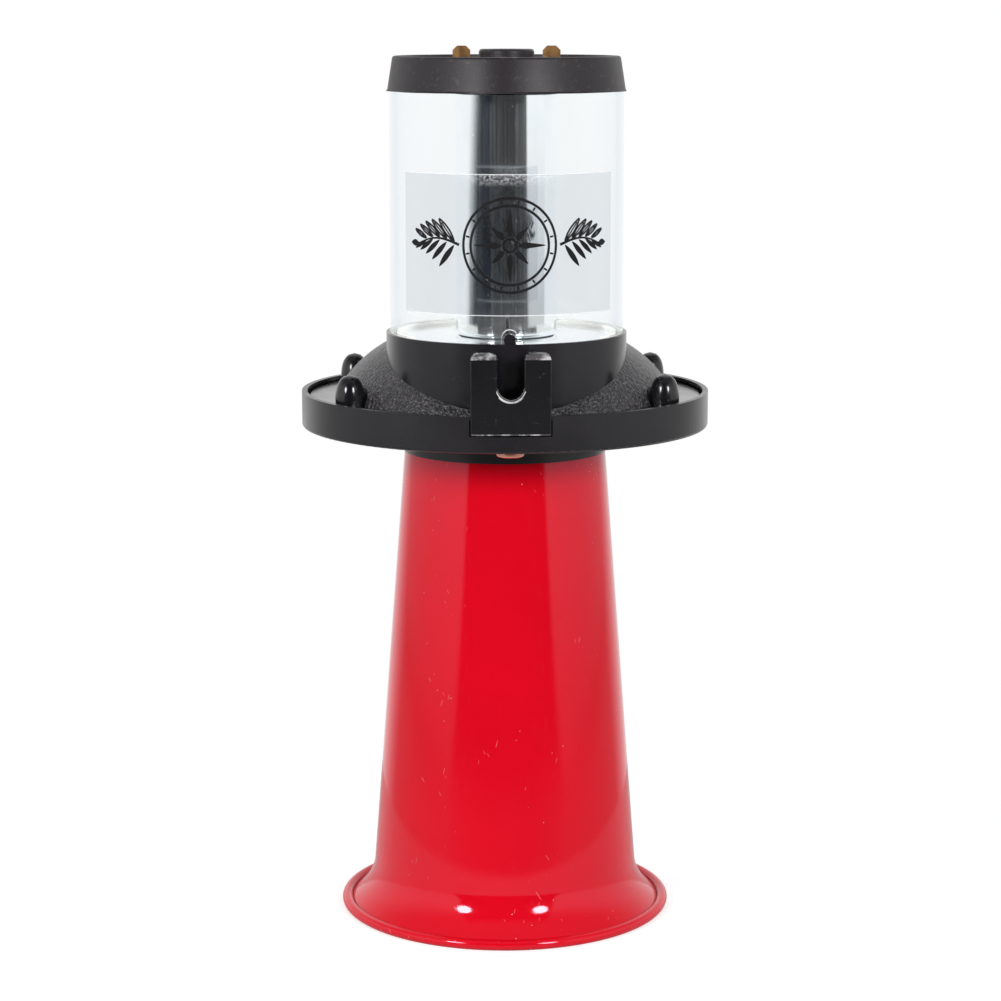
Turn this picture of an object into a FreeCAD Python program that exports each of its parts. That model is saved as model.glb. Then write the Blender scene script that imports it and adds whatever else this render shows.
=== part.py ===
import FreeCAD, Part
import math
import os

import Sketcher

# Electric motor-driven horn standing on its bell. Millimetres, +Z up, origin at the centre of the bell's
# mouth on the floor, the mounting lug towards -Y. Trumpet, cover, diaphragm and dome share the main axis.
# The socket, tube and motor stand on a second axis, nearer the lug by motor_offset.

doc = FreeCAD.newDocument("electric_horn")
dim = doc.addObject("Spreadsheet::Sheet", "dim")
sizes = {
    # Trumpet
    "bell_radius": 47.0,
    "bead_radius": 1.5,
    "trumpet_wall": 0.8,
    "trumpet_length": 132.4,
    "trumpet_top_radius": 28.3,
    "cone_foot_radius": 38.5,
    "flare_fillet": 14.0,
    "flare_angle": 45.0,
    # Front cover
    "collar_height": 7.2,
    "collar_lip": 0.2,
    "collar_fillet": 1.6,
    "spigot_length": 12.0,
    "spigot_wall": 2.6,
    "cover_radius": 57.0,
    "cover_height": 9.9,
    "cover_floor": 2.4,
    "cover_wall": 1.5,
    "cover_edge": 0.8,
    # Diaphragm, gaskets and anvil
    "gasket_thickness": 1.0,
    "gasket_land": 5.0,
    "diaphragm_thickness": 0.5,
    "diaphragm_dish": 1.7,
    "diaphragm_boss": 9.0,
    "anvil_radius": 3.6,
    "anvil_shank": 2.0,
    "anvil_flange": 6.0,
    "anvil_flange_height": 1.5,
    "anvil_bevel": 0.6,
    "anvil_washer_radius": 5.0,
    "anvil_washer_height": 1.0,
    "anvil_nut_flats": 7.0,
    "anvil_nut_height": 3.2,
    "thread_end": 0.8,
    # Rear housing
    "flange_gap": 0.9,
    "plate_thickness": 3.7,
    "flange_width": 7.0,
    "dome_height": 18.7,
    "dome_arc": 35.5,
    "dome_wall": 3.0,
    "motor_offset": 14.2,
    "socket_height": 19.2,
    "socket_lip": 0.9,
    "socket_wall": 2.5,
    "tube_seat": 2.4,
    "deck_thickness": 3.0,
    "lug_width": 21.2,
    "lug_thickness": 6.0,
    "lug_height": 21.6,
    "lug_gap": 0.3,
    "lug_root_width": 12.0,
    "lug_root_drop": 0.9,
    "slot_width": 7.0,
    "slot_depth": 12.2,
    "slot_bevel": 0.4,
    "key_width": 3.0,
    "key_height": 5.0,
    # Flange fasteners
    "bolt_edge": 5.1,
    "bolt_radius": 1.5,
    "bolt_head_radius": 2.8,
    "bolt_head_height": 2.0,
    "bolt_clearance": 0.15,
    "nut_flats": 5.5,
    "nut_height": 2.4,
    "nut_cap_radius": 4.0,
    "nut_cap_height": 8.4,
    "nut_cap_wall": 0.7,
    "spot_margin": 0.8,
    "lug_screw_radius": 1.95,
    "lug_screw_length": 12.0,
    "lug_screw_head_radius": 3.75,
    "lug_screw_head_height": 1.7,
    # Clear tube, label and end cap
    "tube_radius": 32.0,
    "tube_wall": 2.0,
    "tube_length": 67.7,
    "notch_width": 4.2,
    "notch_height": 6.1,
    "label_width": 65.2,
    "label_height": 37.2,
    "label_rise": 9.8,
    "label_film": 0.12,
    "cap_height": 9.4,
    "cap_overhang": 0.4,
    "cap_taper": 1.5,
    "cap_rim": 2.2,
    "cap_recess": 2.6,
    "cap_register": 0.8,
    "cap_register_width": 2.8,
    "cap_hollow": 3.5,
    "cap_web": 3.0,
    "cap_nut_radius": 7.5,
    "cap_nut_height": 4.4,
    "cap_nut_edge": 0.8,
    # Motor frame
    "motor_plate_thickness": 1.5,
    "can_radius": 13.85,
    "can_wall": 1.0,
    "can_base": 1.5,
    "can_fillet": 1.2,
    "nose_radius": 5.0,
    "nose_drop": 1.0,
    "bearing_radius": 3.5,
    "bearing_length": 5.0,
    "motor_screw_spread": 8.0,
    "motor_screw_radius": 1.5,
    "motor_screw_head_radius": 2.75,
    "motor_screw_head_height": 1.8,
    "end_bell_depth": 8.0,
    "magnet_thickness": 3.4,
    "magnet_angle": 130.0,
    "magnet_base_space": 9.0,
    "brush_space": 14.0,
    "clip_thickness": 0.5,
    "clip_angle": 40.0,
    # Rotor
    "shaft_radius": 2.0,
    "air_gap": 0.5,
    "core_margin": 2.0,
    "core_slots": 5,
    "core_slot_width": 2.2,
    "core_slot_depth": 4.6,
    "winding_length": 5.0,
    "winding_inner": 3.0,
    "winding_margin": 1.2,
    "winding_slack": 0.3,
    "commutator_radius": 4.0,
    "commutator_length": 8.0,
    "washer_height": 1.0,
    "washer_radius": 3.2,
    "axial_play": 0.6,
    "wheel_teeth": 20,
    "wheel_height": 6.0,
    "wheel_web": 2.5,
    "wheel_band": 6.4,
    "tooth_height": 1.2,
    "tooth_cover": 0.85,
    "hub_radius": 4.5,
    "hub_rise": 2.0,
    "hub_drop": 2.0,
    "wheel_clip_radius": 3.4,
    "wheel_clip_height": 1.0,
    "strike_gap": 0.5,
    # Brush gear, terminals and tone adjustment
    "brush_width": 3.0,
    "brush_height": 4.0,
    "brush_depth": 3.0,
    "brush_arm_thickness": 0.4,
    "tab_width": 4.8,
    "tab_thickness": 0.8,
    "tab_inner_edge": 9.8,
    "tab_shank": 2.6,
    "tab_rise": 12.1,
    "tab_bevel": 1.2,
    "tab_hole": 0.8,
    "tab_hole_drop": 4.3,
    "bush_radius": 4.5,
    "bush_collar": 5.5,
    "bush_collar_height": 1.5,
    "bush_sink": 0.6,
    "adjuster_radius": 2.5,
    "adjuster_sink": 1.2,
    "adjuster_slot": 1.0,
    "ball_gap": 0.3,
    # Clearances
    "fit_gap": 0.05,
    "free_gap": 0.3,
}
for row, (alias, value) in enumerate(sizes.items(), 1):
    dim.set(f"A{row}", alias)
    dim.set(f"B{row}", str(value))
    dim.setAlias(f"B{row}", alias)
doc.recompute()

# Lines of the trumpet's profile: the cone's slope, the flare's direction and the bead's centre
slope = "((dim.cone_foot_radius - dim.trumpet_top_radius)/dim.trumpet_length)"
steep = f"sqrt(1 + {slope}^2)"
flare_sin = "sin(dim.flare_angle*1deg)"
flare_cos = "cos(dim.flare_angle*1deg)"
bead_r = "(dim.bell_radius - dim.bead_radius)"
bead_z = "dim.bead_radius"
bead_inner = "(dim.bead_radius - dim.trumpet_wall)"
cone_reach = f"(dim.cone_foot_radius + dim.flare_fillet*{steep})"
flare_reach = f"({bead_r}*{flare_sin} + {bead_z}*{flare_cos} - {bead_inner} + dim.flare_fillet)"
flare_z = f"(({flare_reach} - {cone_reach}*{flare_sin})/({flare_cos} - {slope}*{flare_sin}))"
flare_r = f"({cone_reach} - {slope}*{flare_z})"
throat_top = f"(dim.trumpet_top_radius - dim.trumpet_wall*{steep} - dim.fit_gap)"
throat_foot = f"({throat_top} + {slope}*dim.spigot_length)"
throat_inner = f"({throat_top} - dim.spigot_wall)"

# Levels of the stack, from the floor up
cover_bottom = "(dim.trumpet_length + dim.collar_height)"
cover_inside = f"({cover_bottom} + dim.cover_floor)"
cover_top = f"({cover_bottom} + dim.cover_height)"
diaphragm_bottom = f"({cover_inside} + dim.gasket_thickness)"
diaphragm_top = f"({diaphragm_bottom} + dim.diaphragm_thickness)"
plate_bottom = f"({diaphragm_top} + dim.gasket_thickness)"
plate_top = f"({plate_bottom} + dim.plate_thickness)"
socket_top = f"({plate_top} + dim.socket_height)"
deck_top = f"({socket_top} - dim.tube_seat)"
deck_bottom = f"({deck_top} - dim.deck_thickness)"
motor_base = f"({deck_top} + dim.motor_plate_thickness)"
can_floor = f"({motor_base} + dim.can_base)"
tube_top = f"({deck_top} + dim.tube_length)"
can_top = f"({tube_top} - dim.cap_register)"
end_bell_bottom = f"({can_top} - dim.end_bell_depth)"
bush_bottom = f"({end_bell_bottom} + dim.bearing_length)"
cap_top = f"({tube_top} + dim.cap_height)"
cap_floor = f"({cap_top} - dim.cap_recess)"
cap_nut_top = f"({cap_floor} + dim.cap_nut_height)"
bush_top = f"({cap_nut_top} - dim.bush_sink)"

# Levels of the rotor and the anvil, from the motor's nose down and from the end bell down
nose_bottom = f"({deck_bottom} - dim.nose_drop)"
hub_top = f"({nose_bottom} - dim.axial_play - dim.washer_height)"
wheel_top = f"({hub_top} - dim.hub_rise)"
web_bottom = f"({wheel_top} - dim.wheel_web)"
crest = f"({wheel_top} - dim.wheel_height)"
tooth_root = f"({crest} + dim.tooth_height)"
hub_bottom = f"({web_bottom} - dim.hub_drop)"
clip_bottom = f"({hub_bottom} - dim.wheel_clip_height)"
shaft_bottom = f"({clip_bottom} - dim.thread_end)"
shaft_top = f"({bush_bottom} + dim.thread_end)"
ball_radius = "(dim.adjuster_radius - dim.ball_gap)"
ball_bottom = f"({shaft_top} + dim.fit_gap)"
adjuster_bottom = f"({ball_bottom} + 2*{ball_radius} + dim.fit_gap)"
adjuster_top = f"({cap_nut_top} - dim.adjuster_sink)"
commutator_top = f"({end_bell_bottom} - dim.axial_play - dim.washer_height)"
commutator_bottom = f"({commutator_top} - dim.commutator_length)"
brush_level = f"({commutator_bottom} + (dim.commutator_length - dim.brush_height)/2)"
magnet_bottom = f"({can_floor} + dim.magnet_base_space)"
magnet_top = f"({end_bell_bottom} - dim.brush_space)"
core_bottom = f"({magnet_bottom} + dim.core_margin)"
core_top = f"({magnet_top} - dim.core_margin)"
anvil_seat = f"({diaphragm_top} + dim.diaphragm_dish)"
anvil_top = f"({crest} - dim.strike_gap)"
anvil_underside = f"({diaphragm_bottom} + dim.diaphragm_dish)"
anvil_nut_top = f"({anvil_underside} - dim.anvil_washer_height)"
anvil_nut_bottom = f"({anvil_nut_top} - dim.anvil_nut_height)"
anvil_bottom = f"({anvil_nut_bottom} - dim.thread_end)"

# Radii and places that several pieces share
plate_radius = "(dim.cover_radius - dim.cover_wall - dim.flange_gap)"
bolt_r = f"({plate_radius} - dim.bolt_edge)"
gasket_inner = f"({bolt_r} - dim.gasket_land)"
dome_foot = f"({plate_radius} - dim.flange_width)"
dome_axis = f"({dome_foot} - sqrt(dim.dome_arc^2 - (dim.dome_arc - dim.dome_height)^2))"
dome_level = f"({plate_top} + dim.dome_height - dim.dome_arc)"
dome_inside = "(dim.dome_arc - dim.dome_wall)"
tube_inner = "(dim.tube_radius - dim.tube_wall)"
seat_radius = "(dim.tube_radius + 2*dim.fit_gap)"
socket_radius = f"({seat_radius} + dim.socket_lip)"
lug_front = "(-dim.cover_radius)"
lug_top = f"({plate_bottom} + dim.lug_height)"
slot_bottom = f"({lug_top} - dim.slot_depth)"
can_inner = "(dim.can_radius - dim.can_wall)"
shaft_bore = "(dim.shaft_radius + dim.fit_gap)"
magnet_inner = f"({can_inner} - dim.fit_gap - dim.magnet_thickness)"
core_radius = f"({magnet_inner} - dim.air_gap)"
tooth_inner = "(dim.motor_offset - dim.wheel_band/2)"
tooth_outer = "(dim.motor_offset + dim.wheel_band/2)"
motor_y = "(-dim.motor_offset)"
bolt_angles = (30, 90, 150, 210, 330)
lug_screw_angle = 270
mirrored = (0, 180)


def number(formula):
    return float(dim.evalExpression(formula))


def bind(obj, links):
    for name, formula in links.items():
        obj.setExpression(name, formula)


def placed(obj, x, y, z):
    bind(obj, {"Placement.Base.x": x, "Placement.Base.y": y, "Placement.Base.z": z})
    return obj


def cylinder(radius, bottom, top, x="0", y="0"):
    piece = doc.addObject("Part::Cylinder", "cylinder")
    bind(piece, {"Radius": radius, "Height": f"{top} - {bottom}"})
    return placed(piece, x, y, bottom)


def sector(radius, bottom, top, middle, spread, x="0", y="0"):
    # A pie slice of a cylinder, spread degrees wide about the direction middle
    piece = cylinder(radius, bottom, top, x, y)
    piece.Placement.Rotation = FreeCAD.Rotation(FreeCAD.Vector(0, 0, 1), 1)
    bind(piece, {"Angle": f"{spread}*1deg", "Placement.Rotation.Angle": f"({middle} - {spread}/2)*1deg"})
    return piece


def ring(outer, inner, bottom, top, x="0", y="0"):
    return cut(cylinder(outer, bottom, top, x, y), [cylinder(inner, bottom, top, x, y)])


def box(width, depth, bottom, top, x="0", y="0"):
    # A block centred on x and y
    piece = doc.addObject("Part::Box", "box")
    bind(piece, {"Length": width, "Width": depth, "Height": f"{top} - {bottom}"})
    return placed(piece, f"{x} - {width}/2", f"{y} - {depth}/2", bottom)


def hexagon(flats, bottom, top, x="0", y="0"):
    piece = doc.addObject("Part::Prism", "prism")
    piece.Polygon = 6
    bind(piece, {"Circumradius": f"{flats}/2/cos(30deg)", "Height": f"{top} - {bottom}"})
    return placed(piece, x, y, bottom)


def fuse(pieces):
    whole = doc.addObject("Part::MultiFuse", "fuse")
    whole.Shapes = pieces
    whole.Refine = True
    return whole


def cut(base, tools):
    result = doc.addObject("Part::Cut", "cut")
    result.Base = base
    result.Tool = tools[0] if len(tools) == 1 else fuse(tools)
    result.Refine = True
    return result


def group(pieces):
    whole = doc.addObject("Part::Compound", "group")
    whole.Links = pieces
    return whole


def on_circle(angle, radius):
    return f"{radius}*cos({angle}deg)", f"{radius}*sin({angle}deg)"


def bolt_holes(radius, bottom, top, angles):
    return [cylinder(radius, bottom, top, *on_circle(angle, bolt_r)) for angle in angles]


def flange_holes(bottom, top):
    # The holes of the clamped stack: one for each bolt and one for the lug's screw
    holes = bolt_holes("dim.bolt_radius + dim.bolt_clearance", bottom, top, bolt_angles)
    holes += bolt_holes("dim.lug_screw_radius + dim.bolt_clearance", bottom, top, [lug_screw_angle])
    return holes


def arc_between(start, end, radius, turn):
    # The shorter arc from start to end, turning left (1) or right (-1), always given anticlockwise
    chord = end.sub(start)
    reach = math.sqrt(max(radius**2 - (chord.Length / 2) ** 2, 0.0))
    side = FreeCAD.Vector(-chord.y, chord.x, 0).normalize()
    centre = start.add(end).multiply(0.5).add(side.multiply(reach * turn))
    first, last = (start, end) if turn > 0 else (end, start)
    first_angle = math.atan2(first.y - centre.y, first.x - centre.x)
    last_angle = math.atan2(last.y - centre.y, last.x - centre.x)
    if last_angle <= first_angle:
        last_angle += 2 * math.pi
    return Part.ArcOfCircle(Part.Circle(centre, FreeCAD.Vector(0, 0, 1), radius), first_angle, last_angle)


def outline(body, role, path):
    # A closed sketch through the points of path, each (across, up) or, where an arc leaves the point,
    # (across, up, radius, turn). Every coordinate and radius is bound to its formula.
    sketch = body.newObject("Sketcher::SketchObject", "outline")
    plane = [feature for feature in body.Origin.OriginFeatures if feature.Role == role][0]
    sketch.AttachmentSupport = (plane, [""])
    sketch.MapMode = "FlatFace"
    corners = [FreeCAD.Vector(number(point[0]), number(point[1]), 0) for point in path]
    edges = []
    ends = []
    constraints = []
    formulas = []
    for index, point in enumerate(path):
        start = corners[index]
        end = corners[(index + 1) % len(path)]
        if len(point) == 2:
            edges.append(Part.LineSegment(start, end))
            ends.append((1, 2))
        else:
            edges.append(arc_between(start, end, number(point[2]), point[3]))
            ends.append((1, 2) if point[3] > 0 else (2, 1))
    for index, point in enumerate(path):
        first, last = ends[index]
        following = (index + 1) % len(path)
        constraints.append(Sketcher.Constraint("Coincident", index, last, following, ends[following][0]))
        formulas.append(None)
        constraints.append(Sketcher.Constraint("DistanceX", -1, 1, index, first, corners[index].x))
        formulas.append(point[0])
        constraints.append(Sketcher.Constraint("DistanceY", -1, 1, index, first, corners[index].y))
        formulas.append(point[1])
        if len(point) > 2:
            constraints.append(Sketcher.Constraint("Radius", index, number(point[2])))
            formulas.append(point[2])
    sketch.addGeometry(edges, False)
    sketch.addConstraint(constraints)
    for index, formula in enumerate(formulas):
        if formula not in (None, "0"):
            sketch.setExpression(f"Constraints[{index}]", formula)
    return sketch


def turned(path, x="0", y="0"):
    # A body turned about its own vertical axis from a profile of radius and height
    body = doc.addObject("PartDesign::Body", "turned")
    sketch = outline(body, "XZ_Plane", path)
    turning = body.newObject("PartDesign::Revolution", "turning")
    turning.Profile = sketch
    turning.ReferenceAxis = (sketch, ["V_Axis"])
    turning.Angle = 360
    return placed(body, x, y, "0")


def padded(path, depth, x="0", y="0"):
    # A plate cut to a profile of width and height, its front face at y and depth deep behind it
    body = doc.addObject("PartDesign::Body", "padded")
    sketch = outline(body, "XZ_Plane", path)
    pad = body.newObject("PartDesign::Pad", "pad")
    pad.Profile = sketch
    pad.Reversed = True
    bind(pad, {"Length": depth})
    return placed(body, x, y, "0")


def arch(width, bottom, height):
    # Profile of an upright with a half-round top
    half = f"{width}/2"
    shoulder = f"{bottom} + {height} - {half}"
    return [
        (f"-{half}", bottom),
        (half, bottom),
        (half, shoulder, half, 1),
        ("0", f"{bottom} + {height}", half, 1),
        (f"-{half}", shoulder),
    ]


nodes = []


def node(label, obj):
    obj.Label = label
    nodes.append(obj)


def bead_point(radius, across, up):
    return f"{bead_r} + {radius}*{across}", f"{bead_z} + {radius}*{up}"


def flare_point(radius, across, up):
    return f"{flare_r} - {radius}*{across}", f"{flare_z} - {radius}*{up}"


def trumpet():
    # Spun sheet: a straight cone, a flare and a hollow bead curled up and back
    wall = "dim.trumpet_wall"
    outer = "dim.flare_fillet"
    inner = f"({outer} + {wall})"
    on_cone = (f"1/{steep}", f"{slope}/{steep}")
    on_flare = (flare_sin, flare_cos)
    lip = ("cos(135deg)", "sin(135deg)")
    under = (f"(-{flare_sin})", f"(-{flare_cos})")
    return turned([
        ("dim.trumpet_top_radius", "dim.trumpet_length"),
        (*flare_point(outer, *on_cone), outer, 1),
        flare_point(outer, *on_flare),
        (*bead_point(bead_inner, *under), bead_inner, 1),
        (*bead_point(bead_inner, "1", "0"), bead_inner, 1),
        bead_point(bead_inner, *lip),
        (*bead_point("dim.bead_radius", *lip), "dim.bead_radius", -1),
        (*bead_point("dim.bead_radius", "1", "0"), "dim.bead_radius", -1),
        bead_point("dim.bead_radius", *under),
        (*flare_point(inner, *on_flare), inner, -1),
        flare_point(inner, *on_cone),
        (f"dim.trumpet_top_radius - {wall}*{steep}", "dim.trumpet_length"),
    ])


def front_cover():
    # Dish with an upright rim, a collar under it and a spigot that follows the inside of the trumpet
    spigot_bottom = "(dim.trumpet_length - dim.spigot_length)"
    collar = "(dim.trumpet_top_radius + dim.collar_lip)"
    inside = "(dim.cover_radius - dim.cover_wall)"
    dish = turned([
        (throat_inner, spigot_bottom),
        (throat_foot, spigot_bottom),
        (throat_top, "dim.trumpet_length"),
        (collar, "dim.trumpet_length"),
        (collar, f"{cover_bottom} - dim.collar_fillet", "dim.collar_fillet", -1),
        (f"{collar} + dim.collar_fillet", cover_bottom),
        ("dim.cover_radius - dim.cover_edge", cover_bottom, "dim.cover_edge", 1),
        ("dim.cover_radius", f"{cover_bottom} + dim.cover_edge"),
        ("dim.cover_radius", cover_top),
        (inside, cover_top),
        (inside, cover_inside),
        (throat_inner, cover_inside),
    ])
    notch_width = "(dim.lug_width + 2*dim.lug_gap)"
    notch_depth = "dim.cover_radius"
    notch_bottom = f"({plate_bottom} - dim.lug_gap)"
    notch = box(notch_width, notch_depth, notch_bottom, cover_top, "0", f"-{notch_depth}")
    return cut(dish, [notch] + flange_holes(cover_bottom, cover_inside))


def gasket(bottom, top):
    return cut(ring(plate_radius, gasket_inner, bottom, top), flange_holes(bottom, top))


def diaphragm():
    # Thin disc, flat where it is clamped and dished up to the anvil
    hole = "dim.anvil_shank + dim.fit_gap"
    clamped = f"({gasket_inner} - dim.gasket_thickness)"
    disc = turned([
        (hole, anvil_underside),
        ("dim.diaphragm_boss", anvil_underside),
        (clamped, diaphragm_bottom),
        (plate_radius, diaphragm_bottom),
        (plate_radius, diaphragm_top),
        (clamped, diaphragm_top),
        ("dim.diaphragm_boss", anvil_seat),
        (hole, anvil_seat),
    ])
    return cut(disc, flange_holes(diaphragm_bottom, diaphragm_top))


def lug():
    # Upright plate with a slot open at the top for a mounting bolt, its mouth bevelled at the front
    half = "dim.lug_width/2"
    slot = "dim.slot_width/2"
    slot_centre = f"{slot_bottom} + {slot}"
    plate = padded([
        (f"-{half}", plate_bottom),
        (half, plate_bottom),
        (half, lug_top),
        (slot, lug_top),
        (slot, slot_centre, slot, -1),
        ("0", slot_bottom, slot, -1),
        (f"-{slot}", slot_centre),
        (f"-{slot}", lug_top),
        (f"-{half}", lug_top),
    ], "dim.lug_thickness", "0", lug_front)
    doc.recompute()
    pad = plate.Tip
    reach = number(slot) + number("dim.slot_bevel")
    front_edges = []
    for index, edge in enumerate(pad.Shape.Edges):
        bounds = edge.BoundBox
        on_front = abs(bounds.YMin) < 1e-6 and abs(bounds.YMax) < 1e-6
        if on_front and bounds.XMin > -reach and bounds.XMax < reach:
            front_edges.append(f"Edge{index + 1}")
    bevel = plate.newObject("PartDesign::Chamfer", "bevel")
    bevel.Base = (pad, front_edges)
    bind(bevel, {"Size": "dim.slot_bevel"})
    return plate


def dome_profile(radius, ceiling):
    # Half profile of the dome: an arc from the foot up to the ceiling, closed down to the flange
    foot = f"{dome_axis} + sqrt({radius}^2 - ({plate_bottom} - {dome_level})^2)"
    brow = f"{dome_axis} + sqrt({radius}^2 - ({ceiling} - {dome_level})^2)"
    return [
        ("0", plate_bottom),
        (foot, plate_bottom, radius, 1),
        (brow, ceiling),
        ("0", ceiling),
    ]


def rear_housing():
    # Flange plate, dome and offset socket in one moulding, hollow below the deck that carries the motor
    dome_ceiling = f"({plate_top} + dim.dome_height)"
    root_top = f"({slot_bottom} - dim.lug_root_drop)"
    root_back = f"({motor_y} - {socket_radius} + dim.socket_lip)"
    root_depth = f"({root_back} - {lug_front} - dim.lug_thickness/2)"
    body = fuse([
        cylinder(plate_radius, plate_bottom, plate_top),
        turned(dome_profile("dim.dome_arc", dome_ceiling)),
        cylinder(socket_radius, plate_bottom, socket_top, "0", motor_y),
        lug(),
        box("dim.lug_root_width", root_depth, plate_bottom, root_top, "0", f"{root_back} - {root_depth}/2"),
    ])
    hollows = [
        turned(dome_profile(dome_inside, deck_bottom)),
        cylinder(f"{socket_radius} - dim.socket_wall", plate_bottom, deck_bottom, "0", motor_y),
        cylinder(seat_radius, deck_top, f"({socket_top} + dim.tube_seat)", "0", motor_y),
        cylinder("dim.nose_radius + 2*dim.fit_gap", deck_bottom, deck_top, "0", motor_y),
    ]
    hollows += screw_holes(deck_bottom, deck_top)
    hollows += bolt_holes("dim.bolt_radius + dim.bolt_clearance", plate_bottom, plate_top, bolt_angles)
    hollows += bolt_holes("dim.nut_cap_radius + dim.spot_margin", plate_top, dome_ceiling, bolt_angles)
    screw_tip = f"({cover_bottom} + dim.lug_screw_length)"
    hollows += bolt_holes("dim.lug_screw_radius + dim.fit_gap", plate_bottom, screw_tip, [lug_screw_angle])
    key = padded(arch("dim.key_width", deck_top, "dim.key_height"), "dim.tube_wall - dim.fit_gap",
                 "0", f"{motor_y} - dim.tube_radius + dim.fit_gap")
    return fuse([cut(body, hollows), key])


def screw_holes(bottom, top):
    radius = "dim.motor_screw_radius + dim.fit_gap"
    spread = "dim.motor_screw_spread"
    return [cylinder(radius, bottom, top, f"{side}{spread}", motor_y) for side in ("", "-")]


def flange_bolt(x, y):
    tip = f"({plate_top} + dim.nut_height + dim.thread_end)"
    head = cylinder("dim.bolt_head_radius", f"({cover_bottom} - dim.bolt_head_height)", cover_bottom, x, y)
    return fuse([head, cylinder("dim.bolt_radius", cover_bottom, tip, x, y)])


def flange_nut(x, y):
    top = f"({plate_top} + dim.nut_height)"
    bore = cylinder("dim.bolt_radius + dim.fit_gap", plate_top, top, x, y)
    return cut(hexagon("dim.nut_flats", plate_top, top, x, y), [bore])


def nut_cap(x, y):
    # Bullet-shaped cover, hollow over the nut and the end of the bolt
    crown = "(dim.nut_cap_radius - dim.fit_gap)"
    hollow = "(dim.nut_cap_radius - dim.nut_cap_wall)"
    shoulder = f"({plate_top} + dim.nut_cap_height - {crown})"
    ceiling = f"({plate_top} + dim.nut_height + dim.thread_end + dim.free_gap)"
    return turned([
        (hollow, plate_top),
        ("dim.nut_cap_radius", plate_top),
        (crown, shoulder, crown, 1),
        ("0", f"{shoulder} + {crown}"),
        ("0", ceiling),
        (hollow, ceiling),
    ], x, y)


def lug_screw():
    # Pan-head screw up through the flange into the root of the lug
    x, y = on_circle(lug_screw_angle, bolt_r)
    tip = f"({cover_bottom} + dim.lug_screw_length)"
    head_radius = "dim.lug_screw_head_radius"
    edge = "(dim.lug_screw_head_height/2)"
    head_bottom = f"({cover_bottom} - dim.lug_screw_head_height)"
    return turned([
        ("0", head_bottom),
        (f"{head_radius} - {edge}", head_bottom, edge, 1),
        (head_radius, f"{head_bottom} + {edge}"),
        (head_radius, cover_bottom),
        ("dim.lug_screw_radius", cover_bottom),
        ("dim.lug_screw_radius", f"{tip} - dim.lug_screw_radius/2"),
        ("dim.lug_screw_radius/2", tip),
        ("0", tip),
    ], x, y)


def motor_screw(x):
    tip = f"({can_floor} + dim.thread_end)"
    head_bottom = f"({deck_bottom} - dim.motor_screw_head_height)"
    head = cylinder("dim.motor_screw_head_radius", head_bottom, deck_bottom, x, motor_y)
    return fuse([head, cylinder("dim.motor_screw_radius", deck_bottom, tip, x, motor_y)])


def cover_tube():
    wall = ring("dim.tube_radius", tube_inner, deck_top, tube_top, "0", motor_y)
    notch = padded(arch("dim.notch_width", deck_top, "dim.notch_height"), "2*dim.tube_wall",
                   "0", f"{motor_y} - dim.tube_radius - dim.tube_wall/2")
    return cut(wall, [notch])


def tube_label():
    # Film laid on the front of the tube, as wide round the tube as label_width
    spread = "(dim.label_width/dim.tube_radius*180/pi)"
    bottom = f"({deck_top} + dim.label_rise)"
    top = f"({bottom} + dim.label_height)"
    inside = "(dim.tube_radius + dim.fit_gap)"
    film = sector(f"{inside} + dim.label_film", bottom, top, "270", spread, "0", motor_y)
    return cut(film, [cylinder(inside, bottom, top, "0", motor_y)])


def motor_can():
    # Drawn can with a nose for the front bearing, open at the top
    bore = "(dim.bearing_radius + dim.fit_gap)"
    can = turned([
        (bore, nose_bottom),
        ("dim.nose_radius", nose_bottom),
        ("dim.nose_radius", motor_base),
        ("dim.can_radius - dim.can_fillet", motor_base, "dim.can_fillet", 1),
        ("dim.can_radius", f"{motor_base} + dim.can_fillet"),
        ("dim.can_radius", can_top),
        (can_inner, can_top),
        (can_inner, can_floor),
        (bore, can_floor),
    ], "0", motor_y)
    return cut(can, screw_holes(motor_base, can_floor))


def bearing(bottom):
    top = f"({bottom} + dim.bearing_length)"
    return ring("dim.bearing_radius", shaft_bore, bottom, top, "0", motor_y)


def thrust_washer(bottom):
    return ring("dim.washer_radius", shaft_bore, bottom, f"({bottom} + dim.washer_height)", "0", motor_y)


def end_bell():
    # Moulded plug of the can's open end, bored for the rear bearing and the collar of the tail bush
    collar_top = f"({bush_bottom} + dim.bush_collar_height)"
    plug = cylinder(f"{can_inner} - dim.fit_gap", end_bell_bottom, can_top, "0", motor_y)
    hollows = [
        cylinder("dim.bearing_radius + dim.fit_gap", end_bell_bottom, bush_bottom, "0", motor_y),
        cylinder("dim.bush_collar + dim.fit_gap", bush_bottom, collar_top, "0", motor_y),
        cylinder("dim.bush_radius + dim.fit_gap", collar_top, can_top, "0", motor_y),
    ]
    hollows += terminal_slots("dim.tab_shank", end_bell_bottom, can_top)
    return cut(plug, hollows)


def terminal_slots(width, bottom, top):
    depth = "(dim.tab_thickness + 2*dim.fit_gap)"
    middle = f"(dim.tab_inner_edge + {width}/2)"
    clear = f"({width} + 2*dim.fit_gap)"
    return [box(clear, depth, bottom, top, f"{side}{middle}", motor_y) for side in ("", "-")]


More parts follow.
